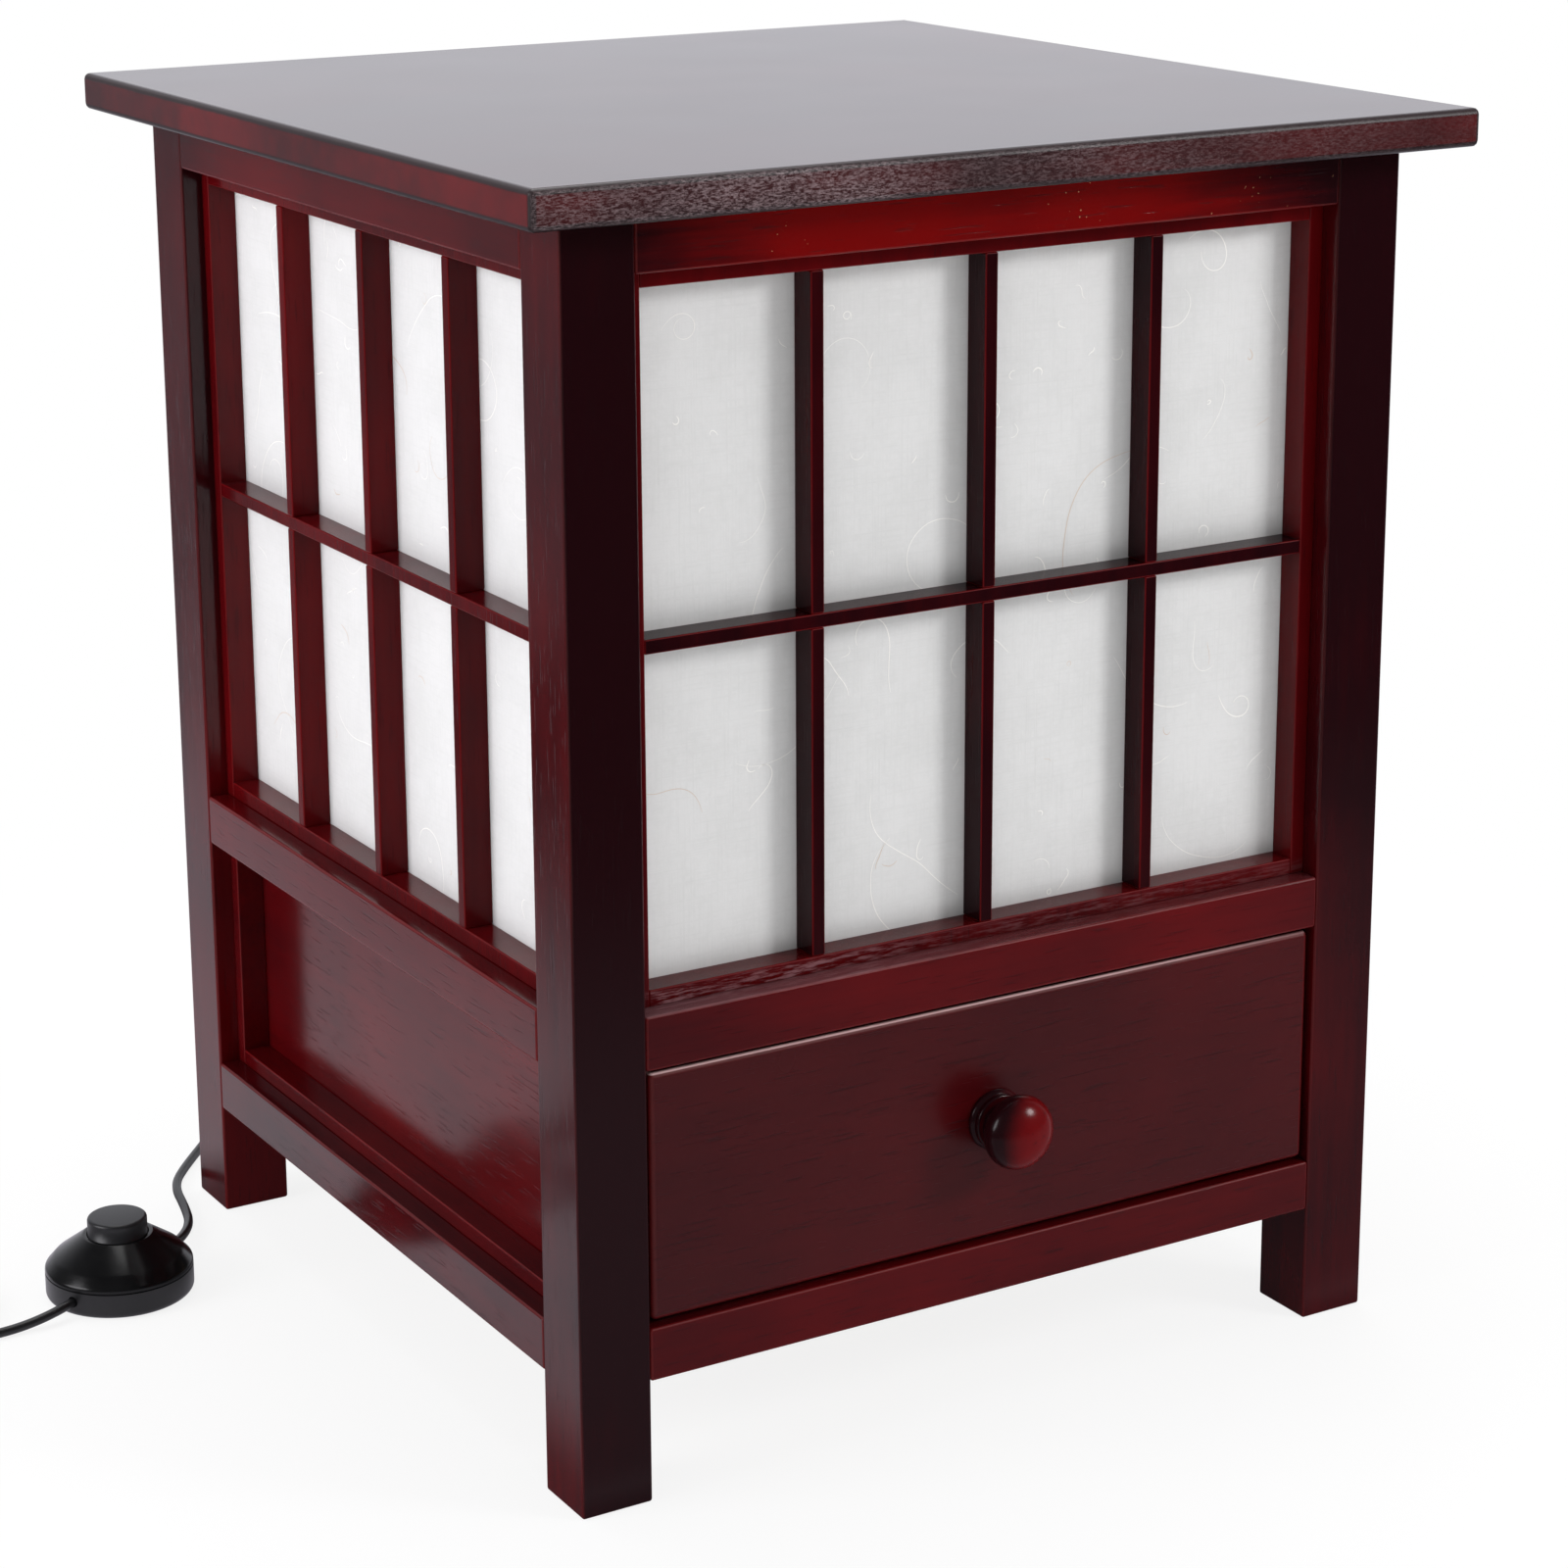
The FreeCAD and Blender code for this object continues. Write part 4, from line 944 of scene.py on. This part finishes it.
    def lamp(self, name: str, at: Point, size: float, power: float, tint: Point = (1, 1, 1)) -> None:
        """Hang a soft round lamp that faces the object.

        Args:
            name: Name of the lamp.
            at: Its place.
            size: Its width.
            power: Its power in watts.
            tint: Its colour.
        """
        light = bpy.data.lights.new(name, "AREA")
        light.shape, light.size, light.size_y, light.energy, light.color = "ELLIPSE", size, size, power, tint
        holder = placed(name, light)
        holder.location = at
        holder.rotation_euler = (Vector(at) - Vector(self.aim)).to_track_quat("Z", "Y").to_euler()

    def light(self) -> None:
        """Hang the lamps: a large soft one at the left, one above and a smaller one at the front right."""
        for facts in self.lamps:
            self.lamp(*facts)


# Leads


@dataclass
class Leads:
    """The cord from the cabinet to the foot switch, the cord on to the plug, and its put-away coil.

    Points at_switch give their distance along the switch's line and their height. Points to_plug count
    from the coil's middle, and the other ones are in millimetres.
    """

    diameter: float = 0.004
    coil_at: Point = (-0.350, 0.1206, 0.0)
    outer_turn: float = 0.0400
    inner_turn: float = 0.0232
    turns: int = 4
    points_per_turn: int = 16
    layers: tuple[float, float] = (0.0020, 0.0062)
    switch_at: Point = (-0.2545, 0.1000, 0.0)
    switch_turn: float = math.radians(30)
    to_switch: tuple[Point, ...] = (
        (-140, 208, 59.2), (-140, 220, 57.5), (-141, 229.5, 49), (-144, 235.5, 36), (-148, 238.5, 22),
        (-152.5, 237, 10), (-159, 231.5, 3.6), (-167, 223.5, 2.1), (-175.5, 213.5, 2), (-184, 203, 2),
        (-191.5, 192.5, 2), (-196, 181, 2), (-198.3, 169.5, 2), (-200.8, 158.5, 2), (-203.9, 147.5, 2.2),
        (-210.3, 134.5, 3.6),
    )
    at_switch: tuple = ((0.038, 0.0061), (0.017, 0.0065), (-0.017, 0.0065), (-0.037, 0.006))
    to_coil: tuple[Point, ...] = ((-303, 80.9, 2.5), (-319, 80.4, 2), (-336, 80.6, 2))
    to_plug: tuple[Point, ...] = ((-0.040, 0.013, 0.007), (-0.040, 0.024, 0.007))

    def on_switch_line(self, reach: float, height: float) -> Vector:
        """Point on the line of the switch's cords, so far from its axis and so high."""
        along = Vector((math.cos(self.switch_turn), math.sin(self.switch_turn), 0))
        return Vector(self.switch_at) + along * reach + Vector((0, 0, height))

    def coil_points(self) -> list[Vector]:
        """Points of the coil: one layer winds inwards, the next climbs and winds outwards.

        The angle falls evenly. The radius falls by one pitch a turn and then grows by it, and the
        height rises over the quarter turn between the layers. A quadratic spline runs inside its
        points by the cosine of half their angle, so the radius is divided by that.

        Returns:
            The points.
        """
        count, climb = self.turns * self.points_per_turn, self.points_per_turn // 4
        step = 2 * math.pi / self.points_per_turn
        index = np.arange(2 * count + climb + 1)
        inward = np.clip(index / count, 0, 1)
        outward = np.clip((index - count - climb) / count, 0, 1)
        radius = self.outer_turn - (self.outer_turn - self.inner_turn) * (inward - outward)
        rise = np.clip((index - count) / climb, 0, 1)
        height = self.layers[0] + (self.layers[1] - self.layers[0]) * rise * rise * (3 - 2 * rise)
        angle = -math.pi / 2 - step * index
        radius = radius / math.cos(step / 2)
        x, y, _ = self.coil_at
        return [Vector(row) for row in np.stack([x + radius * np.cos(angle), y + radius * np.sin(angle), height], 1)]

    def curve(self, name: str, points: Sequence[Vector]) -> Piece:
        """Cord along a quadratic spline.

        Args:
            name: Name of the cord.
            points: Its control points.

        Returns:
            The curve object.
        """
        line = bpy.data.curves.new(name, "CURVE")
        line.dimensions = "3D"
        spline = line.splines.new("NURBS")
        spline.points.add(len(points) - 1)
        for knot, target in zip(spline.points, points):
            knot.co = (*target, 1)
        spline.order_u = 3
        spline.use_endpoint_u = True
        spline.resolution_u = 8
        line.bevel_depth = self.diameter / 2
        line.bevel_resolution = 5
        line.use_fill_caps = True
        return placed(name, line)

    def build(self, finish: Finish) -> list[tuple[Piece, Vector]]:
        """Lay both cords.

        Args:
            finish: Material of their sheath.

        Returns:
            Each cord with the point where it starts.
        """
        ends = [self.on_switch_line(*place) for place in self.at_switch]
        first = [Vector(point) * MM for point in self.to_switch] + ends[:2]
        cord = self.curve("cord_cabinet_to_switch", first)
        dress(cord, finish, "cord_to_switch", slot="cord")
        second = ends[2:] + [Vector(point) * MM for point in self.to_coil] + self.coil_points()
        second += [Vector(np.add(self.coil_at, point)) for point in self.to_plug]
        lead = self.curve("cord_switch_to_plug", second)
        dress(lead, finish, "cord_to_plug", "cord_coil", slot="cord")
        return [(cord, first[0]), (lead, second[0])]


# Cabinet


@dataclass
class Cabinet:
    """Posts, rails, windows, panels and the top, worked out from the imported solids."""

    frame: dict
    post_ease: float = 0.0011
    stick_ease: float = 0.0006
    top_ease: float = 0.0025
    frame_face: float = 0.0065
    bar_face: float = 0.0055
    uprights: int = 3
    bright_red: Colour = (0.17, 0.0012, 0.0012, 1)

    def posts(self) -> None:
        """The four posts."""
        finish = Lacquer("post_lacquer", Grain.ALONG_Z, toner=0.66, faces=0.38, foot=0.36, worn=0.22, ior=1.34).make()
        for corner in ("front_left", "front_right", "rear_left", "rear_right"):
            node = f"leg_{corner}"
            post = eased_boards(f"post_{corner}", [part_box(node)], self.post_ease)
            dress(post, finish, node)

    @property
    def bay(self) -> float:
        """Half of the distance between two posts."""
        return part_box("paper_front")[1][0]

    def rail_finish(self, level: str, across: bool) -> Finish:
        """Finish of a rail.

        Args:
            level: Its level: top, mid or bottom.
            across: Whether it runs along X, in front or behind.

        Returns:
            The material.
        """
        grain = Grain.ALONG_X if across else Grain.ALONG_Y
        facts = {
            ("top", True): {"toner": 0.12, "ends": 0.88, "chips": 0.5, "cloudy": 1.7, "streaky": 1.0,
                            "red": self.bright_red},
            # The mid front rail's ledge gets a painted sheen with streaks of dust.
            ("mid", True): {"toner": 0.38, "ends": 0.2, "dust_and_sheen": 0.8},
            ("bottom", True): {"toner": 0.5},
            ("top", False): {"toner": 0.45, "ends": 0.22},
            ("mid", False): {"toner": 0.5, "ends": 0.05},
            ("bottom", False): {"toner": 0.66},
        }
        return made_once(Lacquer(f"rail_{level}_{grain.name.lower()}", grain, **facts[level, across]))

    def rails(self) -> None:
        """Three rails on each side, drawn to the posts' faces."""
        for side in Side:
            for level in ("top", "mid", "bottom"):
                (_, y0, z0), (_, y1, z1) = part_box(f"{level}_rail_front")
                boxes = [((-self.bay, y0, z0), (self.bay, y1, z1))]
                rail = eased_boards(f"rail_{level}_{side.word}", boxes, self.post_ease, side)
                finish = self.rail_finish(level, side in (Side.FRONT, Side.BACK))
                dress(rail, finish, f"{level}_rail_{side.word}")

    def sticks(self, frame_node: str) -> list[tuple[Point, Point]]:
        """Two stiles and two rails in the front bay.

        Args:
            frame_node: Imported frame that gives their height.

        Returns:
            Lowest and highest corner of each.
        """
        (_, y0, _), (_, y1, _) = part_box("shoji_frame_front")
        (_, _, z0), (_, _, z1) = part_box(frame_node)
        bay, face = self.bay, self.frame_face
        return [((-bay, y0, z0), (face - bay, y1, z1)), ((bay - face, y0, z0), (bay, y1, z1)),
                ((face - bay, y0, z0), (bay - face, y1, z0 + face)),
                ((face - bay, y0, z1 - face), (bay - face, y1, z1))]

    def lattice(self) -> list[tuple[Point, Point]]:
        """Cross bar and uprights of the front window, where the cross bar's face runs through.

        Returns:
            Lowest and highest corner of each.
        """
        (x0, y0, z0), (x1, y1, z1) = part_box("lattice_bars_front")
        half, middle = self.bar_face / 2, (z0 + z1) / 2
        bars = [((x0, y0, middle - half), (x1, y1, middle + half))]
        pitch = (x1 - x0 + self.bar_face) / (self.uprights + 1)
        for index in range(self.uprights):
            x = (index - (self.uprights - 1) / 2) * pitch
            bars.append(((x - half, y0, z0), (x + half, y1, middle - half)))
            bars.append(((x - half, y0, middle + half), (x + half, y1, z1)))
        return bars

    def windows(self) -> None:
        """Frame, lattice and paper on each side."""
        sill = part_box("shoji_frame_front")[0][2] + self.frame_face
        finish = Lacquer("frame_lacquer", Grain.ALONG_Z, toner=0.48, worn=0.3, scuff=sill, ior=1.25).make()
        dark = Lacquer("bar_lacquer", Grain.ALONG_Z, toner=0.9, worn=0.7, ior=1.2).make()
        ruddy = Lacquer("side_bar_lacquer", Grain.ALONG_Z, toner=0.5, worn=0.35, ior=1.2).make()
        paper = Paper().make()
        for side in Side:
            edge = eased_boards(f"window_frame_{side.word}", self.sticks("shoji_frame_front"), self.stick_ease, side)
            dress(edge, finish, f"shoji_frame_{side.word}")
            bars = eased_boards(f"window_bars_{side.word}", self.lattice(), self.stick_ease, side)
            stain = dark if side in (Side.FRONT, Side.BACK) else ruddy
            dress(bars, stain, f"lattice_bars_{side.word}")
            low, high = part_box("paper_front")
            sheet = StrandedSheet(np.array(low), np.array(high), seed=11 + side.value).make(f"sheet_{side.word}")
            sheet.data.transform(side.turn)
            dress(sheet, paper, f"paper_{side.word}", slot="rice_paper")

    def panels(self) -> None:
        """Framed panels at both sides of the drawer."""
        finish = Lacquer("panel_lacquer", Grain.ALONG_Y, toner=0.5, ior=1.3).make()
        for side in (Side.LEFT, Side.RIGHT):
            node = f"side_panel_frame_{side.word}"
            edge = eased_boards(f"panel_frame_{side.word}", self.sticks(node), self.stick_ease, side)
            dress(edge, finish, node)
            dress(self.frame["nodes"][f"side_panel_{side.word}"], finish)

    def build(self) -> None:
        """Dress every piece of the cabinet and its top."""
        self.posts()
        self.rails()
        self.windows()
        self.panels()
        top = eased_boards("top_board", [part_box("tabletop")], self.top_ease)
        finish = TopLacquer("top_lacquer", Grain.ALONG_X, toner=0.55, gloss=0.14, worn=-0.7).make()
        dress(top, finish, "tabletop", body="lid")
        rear = Lacquer("rear_lacquer", Grain.ALONG_X, toner=0.6, gloss=0.3, ior=1.3).make()
        dress(self.frame["nodes"]["rear_panel"], rear)
        inner = PlainWood("inner_wood", Grain.ALONG_Y).make()
        for name in ("lamp_floor", "drawer_runners"):
            dress(self.frame["nodes"][name], inner, slot="plain_wood")
        dress(self.frame["nodes"]["tabletop_battens"], inner, body="lid", slot="plain_wood")


@dataclass
class Drawer:
    """Drawer front, knob and box. The knob's measures are in millimetres from the drawer's face."""

    ease: float = 0.0022
    ball_at: float = 16.6
    ball_start: float = 9.0
    large_bead: tuple = ((2, 0), (11.9, 0, 0.3), (12.7, 1.6, 1.5), (11.2, 3.2, 0.2), (9.9, 3.25))
    small_bead: tuple = ((9.9, 3.25), (11.3, 3.4, 0.9), (11.3, 5.5, 0.9), (9.2, 5.7, 0.3))
    neck: tuple = ((7.6, 6.2, 0.9), (7.6, 8.0, 0.8), (9.0, 8.95))

    def build(self, frame: dict) -> None:
        """Dress the drawer.

        Args:
            frame: The loaded frame.
        """
        # The drawer's upper arris gets a painted highlight.
        face = Lacquer("drawer_lacquer", Grain.ALONG_X, toner=0.58, cloudy=0.35, streaky=0.12, gloss=0.26, ior=1.42,
                       painted_arris_highlight=0.9).make()
        front = eased_boards("drawer_face", [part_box("drawer_front")], self.ease)
        dress(front, face, "drawer_front", body="drawer")
        self.knob()
        box = PlainWood("drawer_wood", Grain.ALONG_Y, (0.42, 0.27, 0.15, 1), (0.3, 0.18, 0.1, 1)).make()
        for name in ("drawer_side_left", "drawer_side_right", "drawer_back", "drawer_bottom"):
            dress(frame["nodes"][name], box, body="drawer", slot="plain_wood")
        zinc = Metal("knob_screw_zinc", (0.6, 0.6, 0.58, 1)).make()
        dress(frame["nodes"]["knob_screw"], zinc, body="drawer", slot="zinc_screw")

    def knob(self) -> None:
        """Turned knob: two beads, a neck and a flattened ball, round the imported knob's axis.

        The ball is an ellipse of revolution, which starts at the neck's radius.
        """
        low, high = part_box("drawer_knob")
        length, rim = (high[1] - low[1]) / MM, (high[0] - low[0]) / 2 / MM
        first = rounded(self.large_bead)
        second = rounded(self.small_bead + self.neck)
        ball = ellipse(rim, length - self.ball_at, self.ball_at, -math.acos(self.ball_start / rim), 40)
        profile = np.concatenate([[(0, 0)], first, second[1:], ball])
        profile[-1, 0] = 0
        place = Matrix.Translation((0, high[1], (low[2] + high[2]) / 2)) @ Matrix.Rotation(math.pi / 2, 4, "X")
        knob = revolved("turned_knob", profile * MM, place, 128)
        finish = KnobLacquer("knob_lacquer", Grain.ALONG_Y, toner=0.3, gloss=0.2, pores=0.05).make()
        dress(knob, finish, "drawer_knob", body="drawer")


@dataclass
class Fittings:
    """Lampholder, bulb, foot switch and plug. The switch's measures are in millimetres.

    The profiles of its cover and button have rows of radius, height and rounding. Heights of the walls
    count from the seam, those of the rims and the flange from the cover's top, that of the stem from the
    button's lower end, and those of the hollow and the crown from its upper end.
    """

    wall: tuple = ((30.4, 0), (30.4, 0.4, 0.1), (31.0, 0.5, 0.3), (30.9, 2.2, 2.2), (27.0, 6.6, 7.0))
    rim: tuple = ((14.7, -0.1, 0.7), (14.0, 0, 0.4), (12.9, 0, 0.3), (12.9, -2.4))
    inside_rim: tuple = ((14.1, -2),)
    inside_wall: tuple = ((25.4, 5.4), (28.9, 0.9), (29.0, 0))
    stem: tuple = ((0, 0), (2.5, 0))
    hollow: tuple = ((2.5, -2.2), (10.7, -2.2))
    flange: tuple = ((10.7, -4), (14.0, -4), (14.0, -2.6), (12.5, -2.5))
    crown: tuple = ((12.5, -0.35, 1.5), (0, 0))

    def build(self, frame: dict) -> list[Piece]:
        """Dress them.

        Args:
            frame: The loaded frame.

        Returns:
            The pieces of the switch.
        """
        nodes = frame["nodes"]
        black = Plastic("switch_plastic", (0.0035, 0.0035, 0.0038, 1), ior=1.33).make()
        wall = Plastic("base_plastic", (0.006, 0.006, 0.0068, 1), 0.32).make()
        satin = Plastic("button_plastic", (0.010, 0.010, 0.0115, 1), 0.4).make()
        pale = Plastic("module_plastic", (0.6, 0.6, 0.56, 1), 0.4).make()
        zinc = Metal("zinc_plate", (0.62, 0.61, 0.58, 1)).make()
        brass = Metal("plug_brass", (0.75, 0.56, 0.27, 1), 0.25).make()
        for name, finish, slot in (
                ("switch_base", wall, "switch_plastic"),
                ("switch_module", pale, "module_plastic"), ("switch_screws", zinc, "zinc_screw"),
                ("plug_body", satin, "plug_plastic"), ("plug_blades", brass, "plug_metal"),
                ("lampholder", satin, "lampholder_plastic"), ("lampholder_screws", zinc, "zinc_screw"),
                ("bulb_glass", Glass().make(), "bulb_glass"), ("bulb_cap", zinc, "bulb_cap"),
                ("inner_lead", satin, "cord"), ("cord_strain_relief", satin, "cord")):
            dress(nodes[name], finish, slot=slot)
        return [nodes[name] for name in ("switch_base", "switch_module", "switch_screws")] + self.switch(black, satin)

    def switch(self, black: Finish, satin: Finish) -> list[Piece]:
        """Domed cover over a fine seam, and the round button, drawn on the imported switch's axis.

        Args:
            black: Material of the cover.
            satin: Material of the button.

        Returns:
            The cover and the button.
        """
        low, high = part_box("switch_cover")
        place = Matrix.Translation(((low[0] + high[0]) / 2, (low[1] + high[1]) / 2, 0))
        seam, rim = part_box("switch_base")[1][2] / MM, high[2] / MM
        outer = rounded(raised(self.wall, seam) + raised(self.rim, rim), 7.0)
        inner = [row[:2] for row in raised(self.inside_rim, rim) + raised(self.inside_wall, seam)]
        shell = revolved("switch_dome", np.concatenate([outer, inner, [outer[0]]]) * MM, place, 160)
        dress(shell, black, "switch_cover", slot="switch_plastic")
        low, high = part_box("switch_button")
        under, upper = low[2] / MM, high[2] / MM
        skin = rounded(raised(self.stem, under) + raised(self.hollow, upper) + raised(self.flange, rim)
                       + raised(self.crown, upper))
        cap = revolved("switch_cap", skin * MM, place, 128)
        dress(cap, satin, "switch_button", body="button", slot="button_plastic")
        return [shell, cap]


def main() -> None:
    """Build and dress every piece."""
    logging.basicConfig(level=logging.INFO, format="%(message)s")
    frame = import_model()
    studio = Studio()
    studio.shoot()
    leads = Leads()
    laid = leads.build(Plastic("cord_sheath", (0.008, 0.008, 0.009, 1), 0.35).make())
    studio.backdrop()
    studio.floor()
    studio.dark_card()
    studio.light()
    Cabinet(frame).build()
    Drawer().build(frame)
    switch = Fittings().build(frame)


if __name__ == "__main__":
    main()
